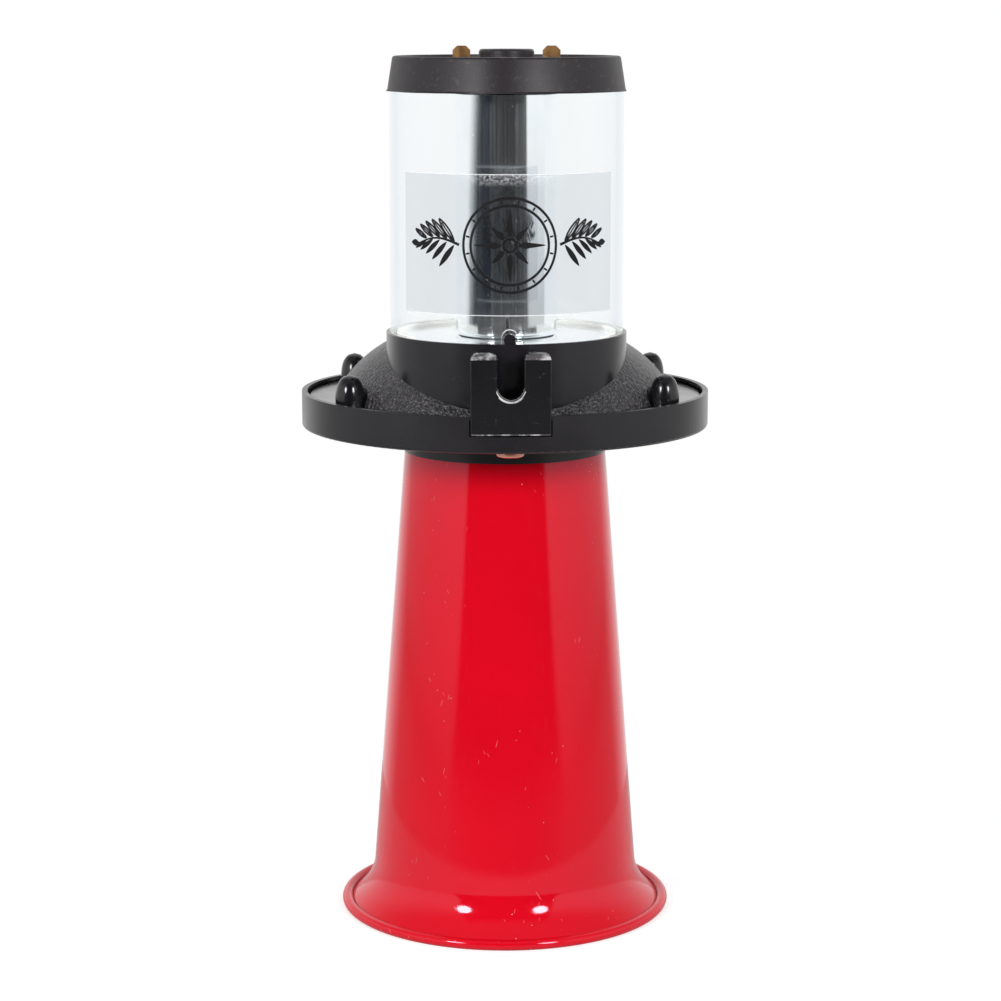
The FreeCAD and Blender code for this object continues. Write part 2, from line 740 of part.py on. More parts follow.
def terminal(turn):
    # Brass blade on a narrow shank, bevelled at the tip and pierced
    inner = "dim.tab_inner_edge"
    shank = f"({inner} + dim.tab_shank)"
    outer = f"({inner} + dim.tab_width)"
    tip = f"({tube_top} + dim.tab_rise)"
    blade = padded([
        (inner, end_bell_bottom),
        (shank, end_bell_bottom),
        (shank, tube_top),
        (outer, tube_top),
        (outer, f"{tip} - dim.tab_bevel"),
        (f"{outer} - dim.tab_bevel", tip),
        (f"{inner} + dim.tab_bevel", tip),
        (inner, f"{tip} - dim.tab_bevel"),
    ], "dim.tab_thickness", "0", "-dim.tab_thickness/2")
    hole = doc.addObject("Part::Cylinder", "hole")
    hole.Placement.Rotation = FreeCAD.Rotation(FreeCAD.Vector(1, 0, 0), 90)
    bind(hole, {"Radius": "dim.tab_hole", "Height": "dim.tab_thickness*2"})
    placed(hole, f"{inner} + dim.tab_width/2", "dim.tab_thickness", f"{tip} - dim.tab_hole_drop")
    pierced = cut(blade, [hole])
    pierced.Placement.Rotation = FreeCAD.Rotation(FreeCAD.Vector(0, 0, 1), turn)
    return placed(pierced, "0", motor_y, "0")


def end_cap():
    # Tapered cap with a recessed top, hollow underneath, its register inside the top of the tube
    base = "(dim.tube_radius + dim.cap_overhang)"
    rim = f"({base} - dim.cap_taper)"
    hole = "(dim.bush_radius + dim.fit_gap)"
    register = f"({tube_inner} - dim.free_gap)"
    register_inner = f"({register} - dim.cap_register_width)"
    register_bottom = f"({tube_top} - dim.cap_register)"
    web = "(dim.can_radius + dim.cap_web)"
    ceiling = f"({tube_top} + dim.cap_hollow)"
    shell = turned([
        (hole, register_bottom),
        (web, register_bottom),
        (web, ceiling),
        (register_inner, ceiling),
        (register_inner, register_bottom),
        (register, register_bottom),
        (register, tube_top),
        (base, tube_top),
        (rim, cap_top),
        (f"{rim} - dim.cap_rim", cap_top),
        (f"{rim} - dim.cap_rim", cap_floor),
        (hole, cap_floor),
    ], "0", motor_y)
    return cut(shell, terminal_slots("dim.tab_width", register_bottom, cap_floor))


def cap_nut():
    bore = "(dim.bush_radius + dim.fit_gap)"
    edge = "dim.cap_nut_edge"
    return turned([
        (bore, cap_floor),
        ("dim.cap_nut_radius", cap_floor),
        ("dim.cap_nut_radius", f"{cap_nut_top} - {edge}", edge, 1),
        (f"dim.cap_nut_radius - {edge}", cap_nut_top),
        (bore, cap_nut_top),
    ], "0", motor_y)


def tail_bush():
    # Threaded tail with a collar held in the end bell
    bore = "(dim.adjuster_radius + dim.fit_gap)"
    collar_top = f"({bush_bottom} + dim.bush_collar_height)"
    return turned([
        (bore, bush_bottom),
        ("dim.bush_collar", bush_bottom),
        ("dim.bush_collar", collar_top),
        ("dim.bush_radius", collar_top),
        ("dim.bush_radius", bush_top),
        (bore, bush_top),
    ], "0", motor_y)


def field_magnet(middle):
    outer_radius = f"({can_inner} - dim.fit_gap)"
    outer = sector(outer_radius, magnet_bottom, magnet_top, middle, "dim.magnet_angle", "0", motor_y)
    return cut(outer, [cylinder(magnet_inner, magnet_bottom, magnet_top, "0", motor_y)])


def magnet_clip(middle):
    outer_radius = f"({can_inner} - dim.fit_gap)"
    outer = sector(outer_radius, magnet_bottom, magnet_top, middle, "dim.clip_angle", "0", motor_y)
    inside = cylinder(f"{outer_radius} - dim.clip_thickness", magnet_bottom, magnet_top, "0", motor_y)
    return cut(outer, [inside])


def brush(side):
    # Carbon block with a hollow face towards the commutator
    clear = "(dim.commutator_radius + dim.free_gap)"
    top = f"({brush_level} + dim.brush_height)"
    middle = f"({clear} + dim.brush_depth/2)"
    block = box("dim.brush_depth", "dim.brush_width", brush_level, top, f"{side}{middle}", motor_y)
    return cut(block, [cylinder(clear, brush_level, top, "0", motor_y)])


def brush_arm(side):
    # Leaf behind the brush and its foot under the end bell, as far out as the terminal's shank
    leaf_inner = "(dim.commutator_radius + dim.free_gap + dim.brush_depth)"
    leaf_middle = f"({leaf_inner} + dim.brush_arm_thickness/2)"
    foot_outer = "(dim.tab_inner_edge + dim.tab_shank)"
    foot_width = f"({foot_outer} - {leaf_inner})"
    foot_bottom = f"({end_bell_bottom} - dim.brush_arm_thickness)"
    leaf = box("dim.brush_arm_thickness", "dim.brush_width", brush_level, end_bell_bottom,
               f"{side}{leaf_middle}", motor_y)
    foot = box(foot_width, "dim.brush_width", foot_bottom, end_bell_bottom,
               f"{side}({leaf_inner} + {foot_width}/2)", motor_y)
    return fuse([leaf, foot])


def armature_core():
    # Stack of slotted laminations
    body = cylinder(core_radius, core_bottom, core_top, "0", motor_y)
    bore = cylinder(shaft_bore, core_bottom, core_top, "0", motor_y)
    return cut(body, [bore] + core_bars("dim.core_slot_width", core_bottom, core_top))


def core_bars(width, bottom, top):
    # Upright bars at the slots of the core, each as deep as a slot and open to the rim
    bars = []
    for index in range(int(number("dim.core_slots"))):
        bar = doc.addObject("Part::Box", "bar")
        turn = f"360/dim.core_slots*{index}"
        inner = f"({core_radius} - dim.core_slot_depth)"
        bar.Placement.Rotation = FreeCAD.Rotation(FreeCAD.Vector(0, 0, 1), 1)
        bind(bar, {"Length": "dim.core_slot_depth", "Width": width, "Height": f"{top} - {bottom}"})
        bind(bar, {"Placement.Rotation.Angle": f"{turn}*1deg"})
        cosine = f"cos({turn}*1deg)"
        sine = f"sin({turn}*1deg)"
        bars.append(placed(
            bar,
            f"{inner}*{cosine} + {width}/2*{sine}",
            f"{motor_y} + {inner}*{sine} - {width}/2*{cosine}",
            bottom,
        ))
    return bars


def armature_windings():
    # Bundles in the slots, joined by the end turns above and below the core
    gap = "dim.winding_slack"
    low = f"({core_bottom} - dim.winding_length)"
    low_top = f"({core_bottom} - {gap})"
    high_bottom = f"({core_top} + {gap})"
    high = f"({core_top} + dim.winding_length)"
    outer = f"({core_radius} - dim.winding_margin)"
    turns = [
        ring(outer, "dim.winding_inner", low, low_top, "0", motor_y),
        ring(outer, "dim.winding_inner", high_bottom, high, "0", motor_y),
    ]
    bundles = core_bars(f"(dim.core_slot_width - 2*{gap})", low, high)
    inside = cylinder(f"{core_radius} - dim.core_slot_depth + {gap}", low_top, high_bottom, "0", motor_y)
    outside = ring(f"{core_radius} + {gap}", outer, low, high, "0", motor_y)
    return cut(fuse(turns + bundles), [fuse([inside, outside])])


def ratchet_wheel():
    # Wheel with saw teeth on its lower face, cut by one groove repeated round the axis
    body = turned([
        (shaft_bore, hub_bottom),
        ("dim.hub_radius", hub_bottom),
        ("dim.hub_radius", web_bottom),
        (tooth_inner, web_bottom),
        (tooth_inner, crest),
        (tooth_outer, crest),
        (tooth_outer, wheel_top),
        ("dim.hub_radius", wheel_top),
        ("dim.hub_radius", hub_top),
        (shaft_bore, hub_top),
    ], "0", motor_y)
    run = f"(2*pi*{tooth_inner}/dim.wheel_teeth*dim.tooth_cover)"
    below = f"({crest} - dim.tooth_height)"
    sketch = outline(body, "XZ_Plane", [
        ("0", below),
        (run, below),
        (run, crest),
        ("0", tooth_root),
    ])
    doc.recompute()
    blank = body.Shape.Volume
    groove = body.newObject("PartDesign::Pocket", "groove")
    groove.Profile = sketch
    groove.Reversed = True
    bind(groove, {"Length": f"{tooth_outer} + dim.wheel_band"})
    doc.recompute()
    teeth = body.newObject("PartDesign::PolarPattern", "teeth")
    teeth.Originals = [groove]
    teeth.Axis = (sketch, ["V_Axis"])
    teeth.Angle = 360
    bind(teeth, {"Occurrences": "dim.wheel_teeth"})
    body.Tip = teeth
    doc.recompute()
    if body.Shape.Volume > blank - 1.0:
        raise RuntimeError("the grooves of the ratchet wheel cut nothing")
    return body


def anvil():
    return turned([
        ("0", anvil_bottom),
        ("dim.anvil_shank", anvil_bottom),
        ("dim.anvil_shank", anvil_seat),
        ("dim.anvil_flange", anvil_seat),
        ("dim.anvil_flange", f"{anvil_seat} + dim.anvil_flange_height"),
        ("dim.anvil_radius", f"{anvil_seat} + dim.anvil_flange_height"),
        ("dim.anvil_radius", f"{anvil_top} - dim.anvil_bevel"),
        ("dim.anvil_radius - dim.anvil_bevel", anvil_top),
        ("0", anvil_top),
    ])


def anvil_nut():
    bore = cylinder("dim.anvil_shank + dim.fit_gap", anvil_nut_bottom, anvil_nut_top)
    return cut(hexagon("dim.anvil_nut_flats", anvil_nut_bottom, anvil_nut_top), [bore])


def thrust_ball():
    ball = doc.addObject("Part::Sphere", "ball")
    bind(ball, {"Radius": ball_radius})
    return placed(ball, "0", motor_y, f"{ball_bottom} + {ball_radius}")


def adjusting_screw():
    # Headless screw with a driver slot
    rod = cylinder("dim.adjuster_radius", adjuster_bottom, adjuster_top, "0", motor_y)
    slot = box("2*dim.adjuster_radius", "dim.adjuster_slot", f"({adjuster_top} - dim.adjuster_slot)",
               adjuster_top, "0", motor_y)
    return cut(rod, [slot])


bolts = [on_circle(angle, bolt_r) for angle in bolt_angles]

node("trumpet", trumpet())
node("front_cover", front_cover())
node("front_gasket", gasket(cover_inside, diaphragm_bottom))
node("diaphragm", diaphragm())
node("rear_gasket", gasket(diaphragm_top, plate_bottom))
node("rear_housing", rear_housing())
node("flange_bolts", group([flange_bolt(x, y) for x, y in bolts]))
node("flange_nuts", group([flange_nut(x, y) for x, y in bolts]))
node("nut_caps", group([nut_cap(x, y) for x, y in bolts]))
node("lug_screw", lug_screw())

node("motor_plate", cut(
    cylinder(f"{tube_inner} - dim.free_gap", deck_top, motor_base, "0", motor_y),
    [cylinder("dim.nose_radius + dim.fit_gap", deck_top, motor_base, "0", motor_y)]
    + screw_holes(deck_top, motor_base)))
node("motor_screws", group([motor_screw("dim.motor_screw_spread"), motor_screw("-dim.motor_screw_spread")]))
node("cover_tube", cover_tube())
node("tube_label", tube_label())
node("end_cap", end_cap())
node("cap_nut", cap_nut())

node("motor_can", motor_can())
node("front_bearing", bearing(nose_bottom))
node("rear_bearing", bearing(end_bell_bottom))
node("end_bell", end_bell())
node("tail_bush", tail_bush())
node("field_magnets", group([field_magnet(middle) for middle in mirrored]))
node("magnet_clips", group([magnet_clip(f"({middle} + 90)") for middle in mirrored]))
node("brushes", group([brush(""), brush("-")]))
node("brush_arms", group([brush_arm(""), brush_arm("-")]))
node("terminals", group([terminal(turn) for turn in mirrored]))

node("motor_shaft", cylinder("dim.shaft_radius", shaft_bottom, shaft_top, "0", motor_y))
node("armature_core", armature_core())
node("armature_windings", armature_windings())
node("commutator", ring("dim.commutator_radius", shaft_bore, commutator_bottom, commutator_top, "0", motor_y))
node("thrust_washers", group([thrust_washer(hub_top), thrust_washer(commutator_top)]))
node("ratchet_wheel", ratchet_wheel())
node("wheel_clip", ring("dim.wheel_clip_radius", shaft_bore, clip_bottom, hub_bottom, "0", motor_y))

node("anvil", anvil())
node("anvil_washer", ring("dim.anvil_washer_radius", "dim.anvil_shank + dim.fit_gap",
                          anvil_nut_top, anvil_underside))
node("anvil_nut", anvil_nut())
node("thrust_ball", thrust_ball())
node("adjusting_screw", adjusting_screw())

doc.recompute()
for obj in doc.Objects:
    if "Invalid" in obj.State or "Error" in obj.State:
        raise RuntimeError(f"{obj.Name} failed: {obj.State}")
for obj in nodes:
    if obj.Shape.isNull() or not obj.Shape.isValid():
        raise RuntimeError(f"{obj.Label} has no valid shape")

os.makedirs("parts", exist_ok=True)
for obj in nodes:
    obj.Shape.exportStep(f"parts/{obj.Label}.step")
    print(obj.Label, len(obj.Shape.Solids), "solids", round(obj.Shape.Volume, 1), "cubic mm")
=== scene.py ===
import math

import bmesh
import bpy
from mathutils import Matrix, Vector, noise


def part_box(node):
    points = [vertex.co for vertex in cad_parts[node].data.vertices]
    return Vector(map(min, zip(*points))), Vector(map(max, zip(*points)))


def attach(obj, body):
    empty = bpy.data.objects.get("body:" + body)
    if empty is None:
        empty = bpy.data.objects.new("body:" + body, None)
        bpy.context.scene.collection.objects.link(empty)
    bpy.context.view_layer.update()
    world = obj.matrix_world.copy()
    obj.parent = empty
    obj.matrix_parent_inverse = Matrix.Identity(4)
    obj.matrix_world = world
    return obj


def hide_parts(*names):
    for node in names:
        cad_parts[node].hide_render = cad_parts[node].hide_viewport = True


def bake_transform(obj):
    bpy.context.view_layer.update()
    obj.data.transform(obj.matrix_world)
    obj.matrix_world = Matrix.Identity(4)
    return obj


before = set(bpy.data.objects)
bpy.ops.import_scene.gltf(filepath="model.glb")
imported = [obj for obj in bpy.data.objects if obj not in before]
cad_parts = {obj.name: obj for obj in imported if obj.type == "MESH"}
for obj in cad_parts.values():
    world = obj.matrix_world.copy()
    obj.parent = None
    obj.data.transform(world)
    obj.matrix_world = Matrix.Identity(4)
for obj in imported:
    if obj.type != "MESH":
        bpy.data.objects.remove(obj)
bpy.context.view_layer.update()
mm = 0.001
motorY = (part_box("motor_can")[0].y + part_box("motor_can")[1].y) / 2 / mm  # the tube and motor stand off the main axis
print("frame loaded, motor axis at y", round(motorY, 2), "mm")


# Colours are written as sRGB hex and turned to linear here
def linearColour(hexCode):
    shares = [int(hexCode[i:i + 2], 16) / 255 for i in (1, 3, 5)]
    return [s / 12.92 if s <= 0.04045 else ((s + 0.055) / 1.055) ** 2.4 for s in shares] + [1.0]


# Texture scale for a pattern whose features are so many millimetres apart
def perMm(size):
    return 1 / (size * mm)


# Lower-case keys are the node's own settings, the others (names or numbers) are its sockets
def addNode(tree, kind, settings=None, links=None):
    node = tree.nodes.new(kind)
    for key, value in (settings or {}).items():
        if isinstance(key, str) and key[0].islower():
            setattr(node, key, value)
        else:
            node.inputs[key].default_value = value
    for key, source in (links or {}).items():
        tree.links.new(source, node.inputs[key])
    return node


def startMaterial(name):
    material = bpy.data.materials.new(name)
    material.use_nodes = True
    tree = material.node_tree
    tree.nodes.clear()
    place = addNode(tree, "ShaderNodeTexCoord").outputs["Object"]
    return material, tree, place


def closeMaterial(tree, shader):
    addNode(tree, "ShaderNodeOutputMaterial", {}, {"Surface": shader.outputs[0]})


# Stoved enamel on spun steel: deep colour under a wet, pinkish gloss, faint orange peel, dust flecks and scratches
# (flecks and scratches are drawn coarser than real ones, which would be too fine to show)
def enamelOnSteel():
    look = {
        "colour": "#e2081f", "shade": "#d5071d", "dust": "#f4c3c4", "gloss": "#ffe4ff", "roughness": 0.07, "ior": 1.46,
        "cloudMm": 28.0, "peelMm": 2.6, "peelDepthMm": 0.006, "rubMm": 0.5, "rubLengthMm": 26.0,
        "rubFrom": (0.62, 0.78), "rubGain": 0.14, "patchMm": 13.0, "speckMm": 3.2, "speckRadius": 0.075,
        "speckFrom": (0.46, 0.72), "speckShare": 0.7, "scratchMm": (1.2, 4.0, 13.0), "scratchTilts": (14, -32),
        "scratchRadius": 0.13, "scratchFrom": (0.5, 0.7), "scratchShare": 0.16,
    }
    material, tree, place = startMaterial("enamelOnSteel")
    cloud = addNode(tree, "ShaderNodeTexNoise", {"Scale": perMm(look["cloudMm"]), "Detail": 3}, {"Vector": place})
    colour = addNode(tree, "ShaderNodeMix",
                     {"data_type": "RGBA", 6: linearColour(look["colour"]), 7: linearColour(look["shade"])},
                     {0: cloud.outputs[0]})
    # Flecks and scratches come in patches
    speck = addNode(tree, "ShaderNodeTexVoronoi", {"Scale": perMm(look["speckMm"])}, {"Vector": place})
    patch = addNode(tree, "ShaderNodeTexNoise", {"Scale": perMm(look["patchMm"]), "Detail": 2}, {"Vector": place})
    least, most = look["speckFrom"]
    dotSize = addNode(tree, "ShaderNodeMapRange", {1: least, 2: most, 3: 0.0, 4: look["speckRadius"]},
                      {0: patch.outputs[0]})
    dot = addNode(tree, "ShaderNodeMath", {"operation": "LESS_THAN"},
                  {0: speck.outputs["Distance"], 1: dotSize.outputs[0]})
    marks = addNode(tree, "ShaderNodeMath", {"operation": "MULTIPLY", 1: look["speckShare"]}, {0: dot.outputs[0]})
    least, most = look["scratchFrom"]
    for tilt in look["scratchTilts"]:
        laid = addNode(tree, "ShaderNodeMapping",
                       {"vector_type": "TEXTURE", "Rotation": (0, math.radians(tilt), 0),
                        "Scale": [size * mm for size in look["scratchMm"]]}, {"Vector": place})
        dash = addNode(tree, "ShaderNodeTexVoronoi", {"Scale": 1.0}, {"Vector": laid.outputs[0]})
        thin = addNode(tree, "ShaderNodeMapRange", {1: least, 2: most, 3: 0.0, 4: look["scratchRadius"]},
                       {0: patch.outputs[0]})
        scratch = addNode(tree, "ShaderNodeMath", {"operation": "LESS_THAN"},
                          {0: dash.outputs["Distance"], 1: thin.outputs[0]})
        faint = addNode(tree, "ShaderNodeMath", {"operation": "MULTIPLY", 1: look["scratchShare"]},
                        {0: scratch.outputs[0]})
        marks = addNode(tree, "ShaderNodeMath", {"operation": "MAXIMUM"}, {0: marks.outputs[0], 1: faint.outputs[0]})
    dusty = addNode(tree, "ShaderNodeMix", {"data_type": "RGBA", 7: linearColour(look["dust"])},
                    {0: marks.outputs[0], 6: colour.outputs[2]})
    stretch = addNode(tree, "ShaderNodeMapping",
                      {"Scale": (perMm(look["rubMm"]), perMm(look["rubMm"]), perMm(look["rubLengthMm"]))},
                      {"Vector": place})
    rub = addNode(tree, "ShaderNodeTexNoise", {"Scale": 1.0, "Detail": 1}, {"Vector": stretch.outputs[0]})
    least, most = look["rubFrom"]
    rubbed = addNode(tree, "ShaderNodeMapRange",
                     {1: least, 2: most, 3: look["roughness"], 4: look["roughness"] + look["rubGain"]},
                     {0: rub.outputs[0]})
    peel = addNode(tree, "ShaderNodeTexNoise", {"Scale": perMm(look["peelMm"]), "Detail": 2}, {"Vector": place})
    bump = addNode(tree, "ShaderNodeBump", {"Strength": 0.6, "Distance": look["peelDepthMm"] * mm},
                   {"Height": peel.outputs[0]})
    shader = addNode(tree, "ShaderNodeBsdfPrincipled",
                     {"IOR": look["ior"], "Specular Tint": linearColour(look["gloss"])},
                     {"Base Color": dusty.outputs[2], "Roughness": rubbed.outputs[0], "Normal": bump.outputs[0]})
    closeMaterial(tree, shader)
    return material


# Moulded plastic or rubber: a grain in the mould's steel, cloudy flow marks, grey scuffs and dust, and lighter grain
# peaks that are partly wear and partly a painted glint
# (the grain is drawn coarser than the mould's, so that it shows)
def mouldedPlastic(name, look):
    material, tree, place = startMaterial(name)
    cloud = addNode(tree, "ShaderNodeTexNoise", {"Scale": perMm(look["cloudMm"]), "Detail": 4}, {"Vector": place})
    colour = addNode(tree, "ShaderNodeMix",
                     {"data_type": "RGBA", 6: linearColour(look["colour"]), 7: linearColour(look["shade"])},
                     {0: cloud.outputs[0]})
    scuff = addNode(tree, "ShaderNodeTexNoise",
                    {"Scale": perMm(look["scuffMm"]), "Detail": 6, "Roughness": 0.7}, {"Vector": place})
    scuffShare = addNode(tree, "ShaderNodeMapRange",
                         {1: look["scuffFrom"], 2: look["scuffFrom"] + look["scuffSoft"], 3: 0.0, 4: look["scuffMost"]},
                         {0: scuff.outputs[0]})
    dusty = addNode(tree, "ShaderNodeMix", {"data_type": "RGBA", 7: linearColour(look["dust"])},
                    {0: scuffShare.outputs[0], 6: colour.outputs[2]})
    rough = addNode(tree, "ShaderNodeMapRange",
                    {1: 0.3, 2: 0.7, 3: look["roughness"] - look["roughSwing"],
                     4: look["roughness"] + look["roughSwing"]}, {0: cloud.outputs[0]})
    grain = addNode(tree, "ShaderNodeTexVoronoi",
                    {"feature": "SMOOTH_F1", "Scale": perMm(look["grainMm"]), "Smoothness": 0.4}, {"Vector": place})
    fine = addNode(tree, "ShaderNodeTexNoise", {"Scale": perMm(look["grainMm"] * look["fineShare"]), "Detail": 3},
                   {"Vector": place})
    height = addNode(tree, "ShaderNodeMath", {"operation": "ADD"}, {0: grain.outputs[0], 1: fine.outputs[0]})
    bump = addNode(tree, "ShaderNodeBump", {"Strength": look["grainStrength"], "Distance": look["grainDepthMm"] * mm},
                   {"Height": height.outputs[0]})
    # Lighter grain peaks: partly wear, partly a painted glint standing in for the lamps' sparkle on the grain
    least, most = look["peakFrom"]
    peaks = addNode(tree, "ShaderNodeMapRange", {1: least, 2: most, 3: 0.0, 4: look["peakMost"]}, {0: fine.outputs[0]})
    peakWearAndGlint = addNode(tree, "ShaderNodeMix", {"data_type": "RGBA", 7: linearColour(look["dust"])},
                   {0: peaks.outputs[0], 6: dusty.outputs[2]})
    shader = addNode(tree, "ShaderNodeBsdfPrincipled", {"IOR": look["ior"]},
                     {"Base Color": peakWearAndGlint.outputs[2], "Roughness": rough.outputs[0], "Normal": bump.outputs[0]})
    closeMaterial(tree, shader)
    return material


# Rolled, drawn, turned or plated metal: drawing lines one way, cloudy tarnish and a dust of small marks
# (lines and dust are drawn coarser than real, so that they show)
def drawnMetal(name, look):
    material, tree, place = startMaterial(name)
    stretch = addNode(tree, "ShaderNodeMapping",
                      {"Scale": (perMm(look["lineMm"]), perMm(look["lineMm"]), perMm(look["lineLengthMm"]))},
                      {"Vector": place})
    lines = addNode(tree, "ShaderNodeTexNoise", {"Scale": 1.0, "Detail": 3}, {"Vector": stretch.outputs[0]})
    cloud = addNode(tree, "ShaderNodeTexNoise", {"Scale": perMm(look["cloudMm"]), "Detail": 5}, {"Vector": place})
    least, most = look["tarnishFrom"]
    tarnish = addNode(tree, "ShaderNodeMapRange", {1: least, 2: most, 3: 0.0, 4: look["tarnishMost"]},
                      {0: cloud.outputs[0]})
    colour = addNode(tree, "ShaderNodeMix",
                     {"data_type": "RGBA", 6: linearColour(look["colour"]), 7: linearColour(look["tarnish"])},
                     {0: tarnish.outputs[0]})
    smoothest, roughest = [look["roughness"] * share for share in look["roughShares"]]
    rough = addNode(tree, "ShaderNodeMapRange", {1: 0.3, 2: 0.7, 3: smoothest, 4: roughest}, {0: lines.outputs[0]})
    wave = addNode(tree, "ShaderNodeTexNoise", {"Scale": perMm(look["waveMm"]), "Detail": 1}, {"Vector": place})
    bump = addNode(tree, "ShaderNodeBump", {"Strength": 0.5, "Distance": look["waveDepthMm"] * mm},
                   {"Height": wave.outputs[0]})
    speck = addNode(tree, "ShaderNodeTexVoronoi", {"Scale": perMm(look["speckMm"])}, {"Vector": place})
    least, most = look["speckFrom"]
    speckSize = addNode(tree, "ShaderNodeMapRange", {1: least, 2: most, 3: 0.0, 4: look["speckRadius"]},
                        {0: cloud.outputs[0]})
    bare = addNode(tree, "ShaderNodeMath", {"operation": "GREATER_THAN"},
                   {0: speck.outputs["Distance"], 1: speckSize.outputs[0]})
    dusty = addNode(tree, "ShaderNodeMix", {"data_type": "RGBA", 6: linearColour(look["dust"])},
                    {0: bare.outputs[0], 7: colour.outputs[2]})
    shader = addNode(tree, "ShaderNodeBsdfPrincipled", {},
                     {"Base Color": dusty.outputs[2], "Metallic": bare.outputs[0], "Roughness": rough.outputs[0],
                      "Normal": bump.outputs[0]})
    closeMaterial(tree, shader)
    return material


# Extruded clear acrylic: a glassy skin, blue-grey only where the wall is seen edge on, dust settled low down
def clearAcrylic():
    look = {"colour": "#fdfefe", "dust": "#f6f5f0", "bend": 1.0, "skinIor": 1.49, "edgeTint": "#6fa4c6",
            "tintPerMetre": 10.0, "coat": 0.35, "coatRoughness": 0.02, "hazeMost": 0.05, "hazeMm": 6.0,
            "hazeFrom": (0.35, 0.7), "hazeRiseMm": 12.0, "siltMm": (2.5, 2.9), "siltMost": 0.9, "siltBack": -17.0,
            "dustRoughness": 0.9}
    material, tree, place = startMaterial("clearAcrylic")
    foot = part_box("cover_tube")[0].z
    apart = addNode(tree, "ShaderNodeSeparateXYZ", {}, {0: place})
    low = addNode(tree, "ShaderNodeMapRange",
                  {1: foot, 2: foot + look["hazeRiseMm"] * mm, 3: 1.0, 4: 0.0}, {0: apart.outputs["Z"]})
    cloud = addNode(tree, "ShaderNodeTexNoise", {"Scale": perMm(look["hazeMm"]), "Detail": 6}, {"Vector": place})
    least, most = look["hazeFrom"]
    patchy = addNode(tree, "ShaderNodeMapRange", {1: least, 2: most, 3: 0.0, 4: look["hazeMost"]},
                     {0: cloud.outputs[0]})
    film = addNode(tree, "ShaderNodeMath", {"operation": "MULTIPLY"}, {0: low.outputs[0], 1: patchy.outputs[0]})
    silt = addNode(tree, "ShaderNodeMapRange", {
        1: foot + look["siltMm"][0] * mm, 2: foot + look["siltMm"][1] * mm, 3: look["siltMost"], 4: 0.0},
        {0: apart.outputs["Z"]})
    behind = addNode(tree, "ShaderNodeMath", {"operation": "GREATER_THAN", 1: (motorY + look["siltBack"]) * mm},
                     {0: apart.outputs["Y"]})
    backSilt = addNode(tree, "ShaderNodeMath", {"operation": "MULTIPLY"}, {0: silt.outputs[0], 1: behind.outputs[0]})
    haze = addNode(tree, "ShaderNodeMath", {"operation": "MAXIMUM"}, {0: film.outputs[0], 1: backSilt.outputs[0]})
    clear = addNode(tree, "ShaderNodeBsdfPrincipled", {
        "Base Color": linearColour(look["colour"]), "Roughness": 0.0, "IOR": look["bend"], "Transmission Weight": 1.0,
        "Coat Weight": look["coat"], "Coat Roughness": look["coatRoughness"], "Coat IOR": look["skinIor"]})
    dust = addNode(tree, "ShaderNodeBsdfPrincipled",
                   {"Base Color": linearColour(look["dust"]), "Roughness": look["dustRoughness"]})
    shader = addNode(tree, "ShaderNodeMixShader", {}, {0: haze.outputs[0], 1: clear.outputs[0], 2: dust.outputs[0]})
    depth = addNode(tree, "ShaderNodeVolumeAbsorption",
                    {"Color": linearColour(look["edgeTint"]), "Density": look["tintPerMetre"]})
    addNode(tree, "ShaderNodeOutputMaterial", {}, {"Surface": shader.outputs[0], "Volume": depth.outputs[0]})
    return material


